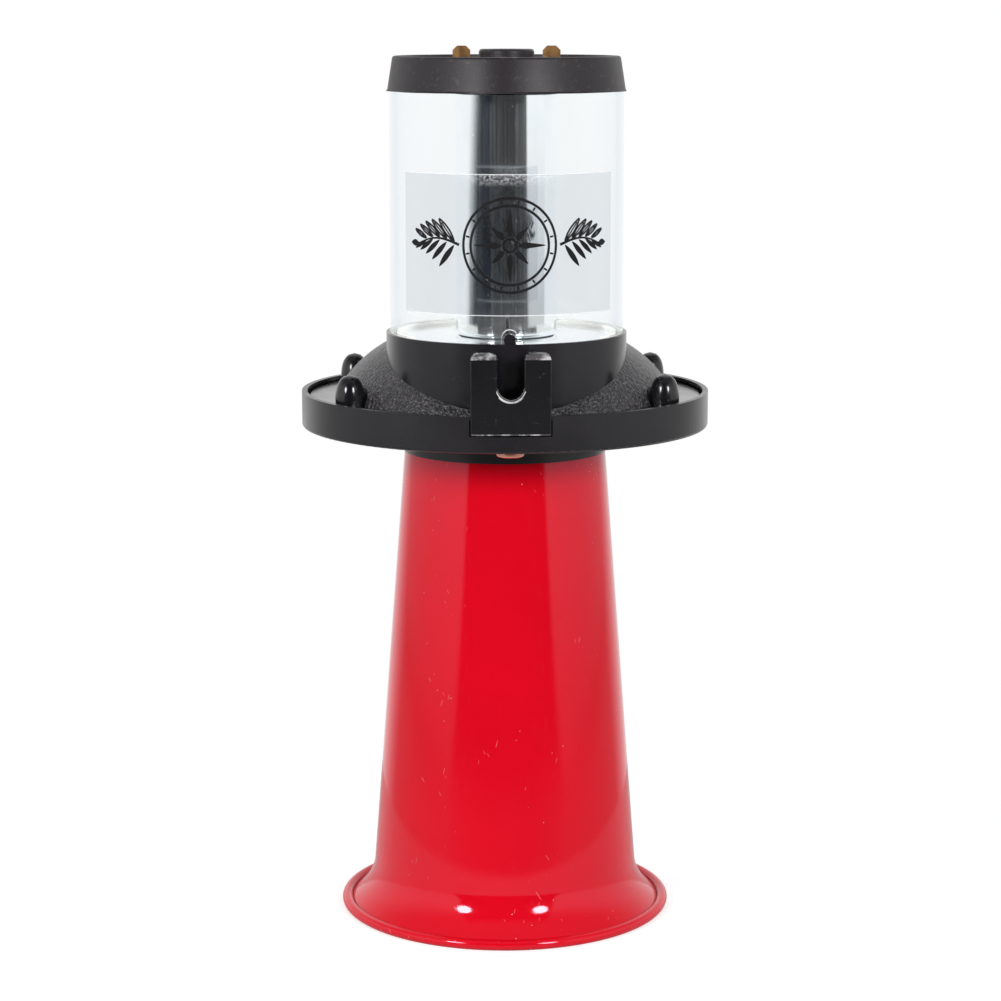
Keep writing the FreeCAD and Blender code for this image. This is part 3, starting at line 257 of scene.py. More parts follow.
# Printed film: clear with a grey cast, its cut edges and a little frost under the top edge catching the light
def clearFilm():
    look = {"colour": "#eceef0", "frost": "#f4f5f6", "bend": 1.02, "edgeMm": 0.28, "frostMm": 3.4, "grainMm": 0.5,
            "grainFrom": (0.45, 0.62), "frostMost": 0.3, "frostHalf": (7.0, 15.0), "frostRoughness": 0.8,
            "edgeMost": 0.4}
    material, tree, place = startMaterial("clearFilm")
    low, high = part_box("tube_label")
    apart = addNode(tree, "ShaderNodeSeparateXYZ", {}, {0: place})
    fromTop = addNode(tree, "ShaderNodeMath", {"operation": "SUBTRACT", 0: high.z}, {1: apart.outputs["Z"]})
    fromFoot = addNode(tree, "ShaderNodeMath", {"operation": "SUBTRACT", 1: low.z}, {0: apart.outputs["Z"]})
    nearest = addNode(tree, "ShaderNodeMath", {"operation": "MINIMUM"}, {0: fromTop.outputs[0], 1: fromFoot.outputs[0]})
    edge = addNode(tree, "ShaderNodeMapRange",
                   {1: look["edgeMm"] * mm / 2, 2: look["edgeMm"] * mm, 3: look["edgeMost"], 4: 0.0},
                   {0: nearest.outputs[0]})
    near = addNode(tree, "ShaderNodeMapRange", {1: 0.0, 2: look["frostMm"] * mm, 3: look["frostMost"], 4: 0.0},
                   {0: fromTop.outputs[0]})
    grain = addNode(tree, "ShaderNodeTexNoise", {"Scale": perMm(look["grainMm"]), "Detail": 4}, {"Vector": place})
    least, most = look["grainFrom"]
    speckled = addNode(tree, "ShaderNodeMapRange", {1: least, 2: most, 3: 0.0, 4: 1.0}, {0: grain.outputs[0]})
    aside = addNode(tree, "ShaderNodeMath", {"operation": "ABSOLUTE"}, {0: apart.outputs["X"]})
    full, gone = [reach * mm for reach in look["frostHalf"]]
    middle = addNode(tree, "ShaderNodeMapRange", {1: full, 2: gone, 3: 1.0, 4: 0.0}, {0: aside.outputs[0]})
    nearMiddle = addNode(tree, "ShaderNodeMath", {"operation": "MULTIPLY"}, {0: near.outputs[0], 1: middle.outputs[0]})
    frost = addNode(tree, "ShaderNodeMath", {"operation": "MULTIPLY"},
                    {0: nearMiddle.outputs[0], 1: speckled.outputs[0]})
    share = addNode(tree, "ShaderNodeMath", {"operation": "MAXIMUM"}, {0: edge.outputs[0], 1: frost.outputs[0]})
    clear = addNode(tree, "ShaderNodeBsdfPrincipled", {
        "Base Color": linearColour(look["colour"]), "Roughness": 0.0, "IOR": look["bend"], "Transmission Weight": 1.0})
    white = addNode(tree, "ShaderNodeBsdfPrincipled",
                    {"Base Color": linearColour(look["frost"]), "Roughness": look["frostRoughness"]})
    shader = addNode(tree, "ShaderNodeMixShader", {}, {0: share.outputs[0], 1: clear.outputs[0], 2: white.outputs[0]})
    closeMaterial(tree, shader)
    return material


satin = {"colour": "#161418", "shade": "#1d1a1f", "dust": "#7a7579", "roughness": 0.29, "ior": 1.5, "cloudMm": 18.0,
         "scuffMm": 7.0, "scuffFrom": 0.68, "scuffMost": 0.2, "grainMm": 0.6, "grainDepthMm": 0.02,
         "grainStrength": 0.25, "peakMost": 0.02, "peakFrom": (0.52, 0.68), "fineShare": 0.7, "roughSwing": 0.05,
         "scuffSoft": 0.12}
steel = {"colour": "#c9cbcd", "tarnish": "#8b8a86", "tarnishMost": 0.35, "roughness": 0.28, "lineMm": 0.3,
         "lineLengthMm": 20.0, "cloudMm": 9.0, "waveMm": 12.0, "waveDepthMm": 0.02, "dust": "#cfcac2", "speckMm": 1.4,
         "speckRadius": 0.12, "tarnishFrom": (0.45, 0.75), "speckFrom": (0.45, 0.8), "roughShares": (0.7, 1.3)}
finishes = {
    "enamel": enamelOnSteel(),
    "satinNylon": mouldedPlastic("satinNylon", satin),
    "smoothNylon": mouldedPlastic("smoothNylon", {**satin, "roughness": 0.22, "grainDepthMm": 0.01}),
    # the grained dome's lighter grain peaks are partly wear and partly a painted glint
    "grainedNylon": mouldedPlastic("grainedNylon", {
        **satin, "colour": "#1d1b20", "shade": "#29272c", "roughness": 0.32, "grainMm": 0.95, "grainDepthMm": 0.42,
        "grainStrength": 1.0, "peakMost": 0.6}),
    "polishedNylon": mouldedPlastic("polishedNylon", {
        **satin, "colour": "#111014", "shade": "#19171b", "roughness": 0.16, "grainMm": 0.8, "grainDepthMm": 0.01,
        "scuffMm": 3.0, "scuffFrom": 0.62, "scuffMost": 0.3}),
    # Lighter grey for the lug's rolled edges: partly rubbed wear, partly a painted highlight
    "rubbedAndHighlitNylon": mouldedPlastic("rubbedAndHighlitNylon", {
        **satin, "colour": "#3a383c", "shade": "#5a575b", "dust": "#e4e2e2", "roughness": 0.28, "scuffMm": 5.0,
        "scuffFrom": 0.47, "scuffMost": 0.7}),
    "mouldedRubber": mouldedPlastic("mouldedRubber", {
        **satin, "colour": "#1e191e", "shade": "#292328", "dust": "#8a8480", "roughness": 0.46, "ior": 1.42,
        "scuffMm": 2.4, "scuffFrom": 0.56, "scuffMost": 0.14, "grainMm": 0.7, "grainDepthMm": 0.03,
        "grainStrength": 0.4}),
    "nickelPlate": drawnMetal("nickelPlate", {
        **steel, "colour": "#f9fcfe", "tarnish": "#ebf2f6", "roughness": 0.11, "lineMm": 0.5, "lineLengthMm": 60.0,
        "waveMm": 9.0, "waveDepthMm": 0.012, "speckMm": 1.8, "speckRadius": 0.17}),
    "zincPlate": drawnMetal("zincPlate", {**steel, "colour": "#d6d7d6", "tarnish": "#b3ab98", "tarnishMost": 0.6,
                                          "roughness": 0.22}),
    "brightSteel": drawnMetal("brightSteel", steel),
    "blackenedSteel": drawnMetal("blackenedSteel", {**steel, "colour": "#2a292b", "tarnish": "#1d1c1d"}),
    "springSteel": drawnMetal("springSteel", {**steel, "colour": "#9fa2a5", "roughness": 0.33}),
    "stampedBrass": drawnMetal("stampedBrass", {
        **steel, "colour": "#a17a50", "tarnish": "#5f452b", "tarnishMost": 0.9, "roughness": 0.42, "cloudMm": 3.0,
        "lineMm": 1.5}),
    "copperPlate": drawnMetal("copperPlate", {
        **steel, "colour": "#e6ab96", "tarnish": "#b57765", "tarnishMost": 0.5, "roughness": 0.38, "cloudMm": 3.0,
        "lineMm": 3.0}),
    "enamelledWire": drawnMetal("enamelledWire", {
        **steel, "colour": "#b5683a", "tarnish": "#7d3f20", "roughness": 0.3, "lineMm": 5.0, "lineLengthMm": 0.5}),
    "pressedFerrite": mouldedPlastic("pressedFerrite", {**satin, "colour": "#242424", "roughness": 0.6}),
    "gasketRubber": mouldedPlastic("gasketRubber", {**satin, "roughness": 0.7, "grainMm": 0.9}),
    # The notch's cut faces: partly sawn matt acrylic, partly a painted highlight for the light caught at the notch's
    # edges
    "sawnAndHighlitAcrylic": mouldedPlastic("sawnAndHighlitAcrylic", {
        **satin, "colour": "#eceef0", "shade": "#d3d6da", "roughness": 0.35, "grainDepthMm": 0.05}),
    "whiteNylon": mouldedPlastic("whiteNylon", {**satin, "colour": "#dcd9cf", "shade": "#cfcbc0", "roughness": 0.45}),
    "clearAcrylic": clearAcrylic(),
    "clearFilm": clearFilm(),
    "printingInk": mouldedPlastic("printingInk", {
        **satin, "colour": "#0b0b0d", "shade": "#121214", "scuffMost": 0.03, "roughness": 0.5, "ior": 1.3,
        "grainDepthMm": 0.002}),
}
print("materials:", len(finishes))


crispAngle = math.radians(32)  # edges that turn by more than this are edges of the real thing
weldGap = 2e-6  # the CAD's faces meet at doubled points this close


def showMesh(name, mesh, finish, smoothed=True):
    if smoothed:
        mesh.shade_smooth()
        mesh.set_sharp_from_angle(angle=crispAngle)
    piece = bpy.data.objects.new(name, mesh)
    bpy.context.scene.collection.objects.link(piece)
    mesh.materials.clear()
    mesh.materials.append(finishes[finish])
    return piece


def settle(piece, slot, *replaced):
    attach(piece, "horn")
    if replaced:
        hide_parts(*replaced)
    return piece


def dropNormals(mesh):
    for name in ("custom_normal", "sharp_face", "sharp_edge"):
        if name in mesh.attributes:
            mesh.attributes.remove(mesh.attributes[name])


def arcPoints(centre, radius, startDegrees, endDegrees, steps):
    angles = [math.radians(startDegrees + (endDegrees - startDegrees) * i / steps) for i in range(steps + 1)]
    return [(centre[0] + radius * math.cos(a), centre[1] + radius * math.sin(a)) for a in angles]


# Rounds each corner (across, up, radius) of a closed outline; a radius of 0 leaves it sharp
def roundedOutline(corners, steps=4):
    points = []
    for i, (across, up, radius) in enumerate(corners):
        here = Vector((across, up))
        back = Vector(corners[i - 1][:2]) - here
        ahead = Vector(corners[(i + 1) % len(corners)][:2]) - here
        reach = min(radius, back.length / 2, ahead.length / 2)
        if reach == 0:
            points.append((across, up))
            continue
        first = here + back.normalized() * reach
        last = here + ahead.normalized() * reach
        for step in range(steps + 1):
            t = step / steps
            points.append(tuple(first * (1 - t) ** 2 + here * 2 * t * (1 - t) + last * t ** 2))
    return points


# Turns a closed outline of (radius, height) in mm about an upright axis; wobble(angle, radius, height) moves points
def turnedMesh(name, outlinePoints, segments, x=0.0, y=0.0, wobble=None):
    mesh = bpy.data.meshes.new(name)
    shape = bmesh.new()
    rings = []
    for i in range(segments):
        angle = 2 * math.pi * i / segments
        ring = []
        for radius, height in outlinePoints:
            if wobble:
                radius, height = wobble(angle, radius, height)
            ring.append(shape.verts.new(((x + radius * math.cos(angle)) * mm,
                                         (y + radius * math.sin(angle)) * mm, height * mm)))
        rings.append(ring)
    count = len(outlinePoints)
    for i in range(segments):
        here, following = rings[i], rings[(i + 1) % segments]
        for j in range(count):
            k = (j + 1) % count
            shape.faces.new((here[j], following[j], following[k], here[k]))
    bmesh.ops.remove_doubles(shape, verts=shape.verts, dist=1e-7)
    bmesh.ops.recalc_face_normals(shape, faces=shape.faces)
    shape.to_mesh(mesh)
    shape.free()
    return mesh


# A copy of a CAD node with its sharp edges rolled over, as moulded and stamped edges are; chosen edges roll wider
def softenedMesh(nodeName, width, segments=2, chosen=None, wideWidth=0.0, clamped=True):
    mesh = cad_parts[nodeName].data.copy()
    mesh.materials.clear()
    shape = bmesh.new()
    shape.from_mesh(mesh)
    bmesh.ops.remove_doubles(shape, verts=shape.verts, dist=weldGap)
    bmesh.ops.dissolve_limit(shape, angle_limit=math.radians(0.2), verts=shape.verts, edges=shape.edges)
    if chosen:
        weight = shape.edges.layers.float.new("bevel_weight_edge")
        for edge in shape.edges:
            sharp = len(edge.link_faces) == 2 and edge.calc_face_angle() > crispAngle
            edge[weight] = min(chosen(vert.co / mm) for vert in edge.verts) if sharp else 0.0
    shape.to_mesh(mesh)
    shape.free()
    dropNormals(mesh)
    mesh.shade_smooth()
    holder = bpy.data.objects.new("holder", mesh)
    bpy.context.scene.collection.objects.link(holder)
    if chosen:
        wide = holder.modifiers.new("wideEdge", "BEVEL")
        wide.width = wideWidth * mm
        wide.segments = 3
        wide.limit_method = "WEIGHT"
        wide.use_clamp_overlap = clamped
    bevel = holder.modifiers.new("edge", "BEVEL")
    bevel.width = width * mm
    bevel.segments = segments
    bevel.limit_method = "ANGLE"
    bevel.angle_limit = crispAngle
    weighted = holder.modifiers.new("flat", "WEIGHTED_NORMAL")  # keeps broad faces flat beside their rolled edges
    weighted.keep_sharp = True
    weighted.weight = 100
    bpy.context.view_layer.update()
    seen = holder.evaluated_get(bpy.context.evaluated_depsgraph_get())
    result = bpy.data.meshes.new_from_object(seen)
    bpy.data.objects.remove(holder)
    return result


# Trumpet: a spun cone that flares at 45 degrees into a curled bead
trumpetShape = {"bellRadius": 47.0, "beadRadius": 1.5, "wall": 0.8, "length": 132.4, "topRadius": 28.3,
                "footRadius": 38.5, "flareFillet": 14.0, "flareDegrees": 45.0, "curlDegrees": 157.0, "segments": 240,
                "coneSteps": 12, "flareSteps": 14, "beadSteps": (16, 24), "rippleMm": 0.03, "rippleAround": 1.6,
                "rippleRiseMm": 30.0, "rippleTopMm": 20.0, "rippleFootMm": 12.0, "rippleFadeMm": 10.0}


def buildTrumpet(shape):
    slope = (shape["footRadius"] - shape["topRadius"]) / shape["length"]
    steep = math.hypot(1, slope)
    lean = math.degrees(math.atan(slope))
    sine = math.sin(math.radians(shape["flareDegrees"]))
    cosine = math.cos(math.radians(shape["flareDegrees"]))
    bead = (shape["bellRadius"] - shape["beadRadius"], shape["beadRadius"])
    hollow = shape["beadRadius"] - shape["wall"]
    coneReach = shape["footRadius"] + shape["flareFillet"] * steep
    flareReach = bead[0] * sine + bead[1] * cosine - hollow + shape["flareFillet"]
    flareUp = (flareReach - coneReach * sine) / (cosine - slope * sine)
    flare = (coneReach - slope * flareUp, flareUp)
    turn = 180 + 90 - shape["flareDegrees"]
    curl = 360 + shape["curlDegrees"]
    outside = [(shape["topRadius"], shape["length"])]
    steps = shape["coneSteps"]
    outside += [(shape["topRadius"] + slope * shape["length"] * i / steps, shape["length"] * (1 - i / steps))
                for i in range(1, steps - 2)]
    outside += arcPoints(flare, shape["flareFillet"], 180 + lean, turn, shape["flareSteps"])
    outside += arcPoints(bead, hollow, turn, curl, shape["beadSteps"][0])
    inside = arcPoints(bead, shape["beadRadius"], curl, turn, shape["beadSteps"][1])
    inside += arcPoints(flare, shape["flareFillet"] + shape["wall"], turn, 180 + lean, shape["flareSteps"])
    inside.append((shape["topRadius"] - shape["wall"] * steep, shape["length"]))

    # A spun sheet is never quite round: a ripple far below what a hand would feel
    def ripple(angle, radius, height):
        around = shape["rippleAround"]
        spot = Vector((math.cos(angle) * around, math.sin(angle) * around, height / shape["rippleRiseMm"]))
        fromTop = (shape["length"] - height) / shape["rippleTopMm"]
        fromFoot = (height - shape["rippleFootMm"]) / shape["rippleFadeMm"]
        share = min(1.0, max(0.0, fromTop)) * min(1.0, max(0.0, fromFoot))
        return radius + shape["rippleMm"] * noise.noise(spot) * share, height

    mesh = turnedMesh("trumpetSheet", outside + inside, shape["segments"], wobble=ripple)
    settle(showMesh("trumpetSheet", mesh, "enamel"), "red_enamel", "trumpet")


buildTrumpet(trumpetShape)
print("trumpet turned")


# Dish of the front cover, with the little nibs that the mould leaves on its rim
coverShape = {"edgeMm": 0.3, "nibDegrees": (164, 171, 9, 17, 203, 338), "nibMm": 0.55, "nibFoot": -0.2,
              "nibShoulder": 0.55, "nibTop": 0.6, "nibRound": 0.2, "nibSegments": 12, "rimInset": 0.7}


def buildCover(shape):
    piece = showMesh("frontDish", softenedMesh("front_cover", shape["edgeMm"]), "satinNylon", False)
    settle(piece, "satin_black_plastic", "front_cover")
    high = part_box("front_cover")[1]
    rimRadius = high.x / mm - shape["rimInset"]
    nib = roundedOutline([(0, shape["nibFoot"], 0), (shape["nibMm"], shape["nibFoot"], 0),
                          (shape["nibMm"] / 2, shape["nibShoulder"], shape["nibRound"]), (0, shape["nibTop"], 0)])
    for i, degrees in enumerate(shape["nibDegrees"]):
        angle = math.radians(degrees)
        mesh = turnedMesh(f"rimNib{i}", [(r, z + high.z / mm - shape["nibShoulder"]) for r, z in nib],
                          shape["nibSegments"], rimRadius * math.cos(angle), rimRadius * math.sin(angle))
        settle(showMesh(f"rimNib{i}", mesh, "satinNylon"), "satin_black_plastic")


buildCover(coverShape)


# Rear housing: smooth socket, grained dome, polished flange and lug
housingShape = {"edgeMm": 0.4, "domeArc": 35.5, "domeAxis": 16.33, "domeLevel": 131.4, "lugBack": -50.9,
                "lugHalf": 10.7, "lugEdgeMm": 0.45, "lugTopEdgeMm": 1.6, "domeSlack": 0.4, "domeFrom": 148.0,
                "plateLevels": (147.8, 148.5), "rolledLean": (0.1, 0.97)}


def buildHousing(shape):
    spots = [vert.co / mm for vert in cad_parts["rear_housing"].data.vertices]
    lugTop = max(spot.z for spot in spots if spot.y < shape["lugBack"])

    def onLug(spot):
        return spot.y < shape["lugBack"] and abs(spot.x) < shape["lugHalf"]

    # Hands have rubbed the lug's top ends round
    def rolled(spot):
        if not onLug(spot):
            return 0.0
        return 1.0 if spot.z > lugTop - 0.1 else shape["lugEdgeMm"] / shape["lugTopEdgeMm"]

    mesh = softenedMesh("rear_housing", shape["edgeMm"], 2, rolled, shape["lugTopEdgeMm"], False)
    piece = showMesh("rearMoulding", mesh, "smoothNylon", False)
    grained, polished, rubbed = 1, 2, 3
    for finish in ("grainedNylon", "polishedNylon", "rubbedAndHighlitNylon"):
        piece.data.materials.append(finishes[finish])
    plateLow, plateHigh = shape["plateLevels"]
    leanLeast, leanMost = shape["rolledLean"]
    for face in piece.data.polygons:
        x, y, z = [value / mm for value in face.center]
        across = math.hypot(x, y) - shape["domeAxis"]
        offArc = abs(math.hypot(across, z - shape["domeLevel"]) - shape["domeArc"])
        # The lug's forward-facing rolled edges take the lighter finish: partly rubbed wear, partly a painted highlight
        # where they catch the lamps and the floor
        if onLug(face.center / mm):
            rolledOver = leanLeast < abs(face.normal.z) < leanMost and face.normal.y < -0.02
            face.material_index = rubbed if rolledOver else polished
        elif offArc < shape["domeSlack"] and z > shape["domeFrom"] and face.normal.z > 0.05:
            face.material_index = grained
        elif face.normal.z > 0.9 and plateLow < z < plateHigh:
            face.material_index = polished
    settle(piece, "gloss_black_plastic", "rear_housing")


buildHousing(housingShape)
print("dish and housing softened")


# Bullet-shaped covers of the flange nuts
capShape = {"radius": 4.0, "height": 8.4, "boltRadius": 49.5, "degrees": (30, 90, 150, 210, 330), "steps": 18,
            "segments": 40, "blunt": 3, "round": 0.46}
boltSpots = [(capShape["boltRadius"] * math.cos(math.radians(degrees)),
              capShape["boltRadius"] * math.sin(math.radians(degrees))) for degrees in capShape["degrees"]]


def buildNutCaps(shape):
    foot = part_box("nut_caps")[0].z / mm
    outline = [(0.0, foot)]
    for i in range(shape["steps"] + 1):
        share = i / shape["steps"]
        reach = shape["radius"] * max(0.0, 1 - share ** shape["blunt"]) ** shape["round"]
        outline.append((reach, foot + shape["height"] * share))
    for i, (x, y) in enumerate(boltSpots):
        mesh = turnedMesh(f"nutCap{i}", outline, shape["segments"], x, y)
        settle(showMesh(f"nutCap{i}", mesh, "polishedNylon"), "gloss_black_plastic", "nut_caps")


buildNutCaps(capShape)


# Clear tube with its arched notch
tubeShape = {"edgeMm": 0.2, "notchHalf": 2.4, "notchRise": 6.6, "notchEdgeMm": 0.5, "cutMargin": 0.6,
             "cutTurn": 0.97}


def buildTube(shape):
    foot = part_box("cover_tube")[0].z / mm

    def atNotch(spot):
        return float(spot.y < motorY and abs(spot.x) < shape["notchHalf"] and spot.z < foot + shape["notchRise"])

    mesh = softenedMesh("cover_tube", shape["edgeMm"], 2, atNotch, shape["notchEdgeMm"])
    piece = showMesh("clearTube", mesh, "clearAcrylic", False)
    piece.data.materials.append(finishes["sawnAndHighlitAcrylic"])
    cutHalf = shape["notchHalf"] + shape["cutMargin"]
    cutTop = foot + shape["notchRise"] + shape["cutMargin"]
    for face in piece.data.polygons:
        x, y, z = face.center / mm
        around = abs(face.normal.x * x + face.normal.y * (y - motorY)) / math.hypot(x, y - motorY)
        if y < motorY and abs(x) < cutHalf and z < cutTop and around < shape["cutTurn"]:
            face.material_index = 1  # the cut faces of the notch are dull white: partly sawn matt acrylic, partly a painted highlight along the notch's outline
    piece.visible_shadow = False  # a clear wall lets the lamps light the dust and metal inside
    settle(piece, "clear_acrylic", "cover_tube")


buildTube(tubeShape)


# End cap: tapered rubber, recessed on top, with an uneven flash left along its lower edge
endCapShape = {"taper": 1.5, "rim": 2.2, "recess": 2.6, "bore": 4.6, "bossRadius": 16.8, "sleeveRadius": 26.0,
               "hollow": 3.4, "seat": 0.05, "bossSeat": 0.1, "flash": 0.85, "flashHeight": 0.7, "flashRoot": 0.12,
               "flashDrop": 0.04, "waveAround": 2.1, "waveGain": 1.6, "waveLift": 0.12, "fringeTimes": 5,
               "fringeGain": 0.5, "segments": 220}


def buildEndCap(shape):
    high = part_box("end_cap")[1]
    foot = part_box("cover_tube")[1].z / mm
    top = high.z / mm
    base = high.x / mm
    rim = base - shape["taper"]
    seat = foot + shape["seat"]
    bossSeat = foot + shape["bossSeat"]
    ceiling = foot + shape["hollow"]
    floor = top - shape["recess"]
    outline = roundedOutline([
        (shape["bore"], bossSeat, 0), (shape["bossRadius"], bossSeat, 0), (shape["bossRadius"], ceiling, 0),
        (shape["sleeveRadius"], ceiling, 0), (shape["sleeveRadius"], seat, 0), (base - 0.5, seat, 0), (base, seat, 0.1),
        (base - shape["flashRoot"], foot + shape["flashHeight"], 0.2), (rim, top, 0.7), (rim - shape["rim"], top, 0.5),
        (rim - shape["rim"], floor, 0.4), (shape["bore"], floor, 0),
    ])

    # The flash is ragged where the mould's halves didn't close
    def ragged(angle, radius, height):
        if radius < base - 0.3 or height > foot + shape["flashHeight"] / 2:
            return radius, height
        spot = Vector((math.cos(angle) * shape["waveAround"], math.sin(angle) * shape["waveAround"], 3.0))
        fringe = max(0.0, noise.noise(spot) + shape["waveLift"]) * shape["waveGain"]
        fringe += max(0.0, noise.noise(spot * shape["fringeTimes"])) * shape["fringeGain"]
        share = min(1.0, fringe)
        return radius + share * shape["flash"], height - share * shape["flashDrop"]

    mesh = turnedMesh("rubberCap", outline, shape["segments"], 0.0, motorY, ragged)
    settle(showMesh("rubberCap", mesh, "mouldedRubber"), "black_rubber", "end_cap")


buildEndCap(endCapShape)

# Small parts on the end cap, with their edges rolled over
fittings = {
    "cap_nut": {"piece": "roundNut", "finish": "mouldedRubber", "slot": "satin_black_plastic", "edgeMm": 0.2},
    "terminals": {"piece": "bladeTerminals", "finish": "stampedBrass", "slot": "brass", "edgeMm": 0.12},
}
for nodeName, part in fittings.items():
    mesh = softenedMesh(nodeName, part["edgeMm"])
    settle(showMesh(part["piece"], mesh, part["finish"], False), part["slot"], nodeName)
print("tube, cap and terminals made")


# Screw heads under the dish, with their cross recesses; headShare flattens the bolts' heads
recessShape = {"width": 0.9, "depth": 1.3, "taper": 0.55, "edgeMm": 0.35, "edgeSteps": 3}
screwShapes = {
    "flange_bolts": {"piece": "flangeBolts", "finish": "blackenedSteel", "slot": "zinc_steel", "spots": boltSpots,
                     "reach": 1.5, "head": 2.0, "headShare": 0.45},
    "lug_screw": {"piece": "lugScrew", "finish": "copperPlate", "slot": "copper_plate",
                  "spots": [(0.0, -capShape["boltRadius"])], "reach": 1.9, "head": 1.7, "headShare": 1.0},
}


def buildScrews(nodeName, shape):
    mesh = softenedMesh(nodeName, recessShape["edgeMm"], recessShape["edgeSteps"])
    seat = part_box(nodeName)[0].z + shape["head"] * mm
    for vert in mesh.vertices:
        if vert.co.z < seat:
            vert.co.z = seat - (seat - vert.co.z) * shape["headShare"]
    piece = showMesh(shape["piece"], mesh, shape["finish"])
    foot = min(vert.co.z for vert in mesh.vertices)
    cutter = bmesh.new()
    width, reach = recessShape["width"], shape["reach"]
    for x, y in shape["spots"]:
        for long, wide in ((reach, width), (width, reach)):
            made = bmesh.ops.create_cube(cutter, size=1.0)
            for vert in made["verts"]:
                narrow = recessShape["taper"] if vert.co.z > 0 else 1.0
                vert.co.x = x * mm + vert.co.x * long * 2 * mm * (narrow if long > wide else 1.0)
                vert.co.y = y * mm + vert.co.y * wide * 2 * mm * (narrow if wide > long else 1.0)
                vert.co.z = foot + vert.co.z * recessShape["depth"] * 2 * mm
    cutMesh = bpy.data.meshes.new("recessCutter")
    cutter.to_mesh(cutMesh)
    cutter.free()
    cutObject = bpy.data.objects.new("recessCutter", cutMesh)
    bpy.context.scene.collection.objects.link(cutObject)
    boolean = piece.modifiers.new("recess", "BOOLEAN")
    boolean.operation = "DIFFERENCE"
    boolean.solver = "EXACT"
    boolean.use_self = True
    boolean.object = cutObject
    bpy.context.view_layer.update()
    seen = piece.evaluated_get(bpy.context.evaluated_depsgraph_get())
    done = bpy.data.meshes.new_from_object(seen)
    piece.modifiers.clear()
    piece.data = done
    done.materials.clear()
    done.materials.append(finishes[shape["finish"]])
    done.set_sharp_from_angle(angle=crispAngle)
    bpy.data.objects.remove(cutObject)
    settle(piece, shape["slot"], nodeName)


for nodeName, screwShape in screwShapes.items():
    buildScrews(nodeName, screwShape)


# Diaphragm: spring sheet that follows the anvil at its boss and stays clamped at its rim, cut into equal sectors
diaphragmShape = {"sectors": 6, "bossReach": 9.5, "clampReach": 38.0}


def buildDiaphragm(shape):
    half = math.pi / shape["sectors"]
    for i in range(shape["sectors"]):
        middle = half * (2 * i + 1)
        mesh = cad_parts["diaphragm"].data.copy()
        dropNormals(mesh)
        sheet = bmesh.new()
        sheet.from_mesh(mesh)
        bmesh.ops.remove_doubles(sheet, verts=sheet.verts, dist=weldGap)
        for angle, side in ((middle - half, 1), (middle + half, -1)):
            aside = Vector((-math.sin(angle), math.cos(angle), 0)) * side
            bmesh.ops.bisect_plane(sheet, geom=sheet.verts[:] + sheet.edges[:] + sheet.faces[:], plane_co=(0, 0, 0),
                                   plane_no=aside, clear_inner=True)
        bmesh.ops.holes_fill(sheet, edges=[edge for edge in sheet.edges if edge.is_boundary])
        bmesh.ops.recalc_face_normals(sheet, faces=sheet.faces)
        sheet.to_mesh(mesh)
        sheet.free()
        piece = showMesh(f"diaphragmSector{i}", mesh, "springSteel")
        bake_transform(piece)
        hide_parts("diaphragm")


buildDiaphragm(diaphragmShape)
print("diaphragm cut in sectors")


# Film on the front of the tube and a plain ornament printed on it: a star in a ring between two leaf sprays
filmShape = {"tubeRadius": 32.0, "thick": 0.12, "steps": 72}
printShape = {"line": 0.7, "hair": 0.1, "lift": 0.05, "ring": 12.4, "innerRing": 10.4, "hub": 1.7, "ringSteps": 72,
              "starPoints": 8, "starFrom": 2.3, "starGap": 0.9, "shortPoint": 0.72, "starWidth": 2.0, "starSteps": 10,
              "ticks": 16, "tickLength": 1.0, "tickWidth": 0.5, "stemFrom": 13.6, "stemTo": 26.5, "stemRise": 1.6,
              "stemSteps": 24, "leaves": 5, "leafLength": 7.4, "leafWidth": 1.45, "leafDegrees": (52, 6),
              "leafRoot": 0.6, "leafSteps": 12, "shorter": 0.09, "narrower": 0.07, "budStep": 0.4, "budSteps": 8,
              "budWidth": 1.7}


def onTube(radius, along, up):
    angle = along / filmShape["tubeRadius"]
    return Vector((radius * math.sin(angle), motorY - radius * math.cos(angle), up)) * mm


def buildFilm(shape):
    low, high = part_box("tube_label")
    radius = motorY - low.y / mm
    half = math.asin(min(1.0, high.x / mm / radius)) * shape["tubeRadius"]
    mesh = bpy.data.meshes.new("labelFilm")
    sheet = bmesh.new()
    columns = []
    for i in range(shape["steps"] + 1):
        along = -half + 2 * half * i / shape["steps"]
        columns.append([sheet.verts.new(onTube(r, along, up)) for r, up in (
            (radius - shape["thick"], low.z / mm), (radius, low.z / mm),
            (radius, high.z / mm), (radius - shape["thick"], high.z / mm))])
    for here, following in zip(columns, columns[1:]):
        for j in range(4):
            k = (j + 1) % 4
            sheet.faces.new((here[j], following[j], following[k], here[k]))
    sheet.faces.new(columns[0])
    sheet.faces.new(reversed(columns[-1]))
    bmesh.ops.recalc_face_normals(sheet, faces=sheet.faces)
    sheet.to_mesh(mesh)
    sheet.free()
    film = settle(showMesh("labelFilm", mesh, "clearFilm"), "clear_film", "tube_label")
    film.visible_shadow = False  # clear, so the lamps reach what is behind
    film.visible_glossy = False  # keeps the film's image in the polished can faint
    return radius, (low.z + high.z) / 2 / mm


def stroke(sheet, radius, middle, points, widths):
    edges = []
    for i, (along, up) in enumerate(points):
        before = Vector(points[max(i - 1, 0)])
        after = Vector(points[min(i + 1, len(points) - 1)])
        aside = (after - before).normalized().orthogonal() * widths[i] / 2
        edges.append([sheet.verts.new(onTube(radius, along + side * aside.x, middle + up + side * aside.y))
                      for side in (-1, 0, 1)])
    for here, following in zip(edges, edges[1:]):
        for j in range(2):
            sheet.faces.new((here[j], following[j], following[j + 1], here[j + 1]))


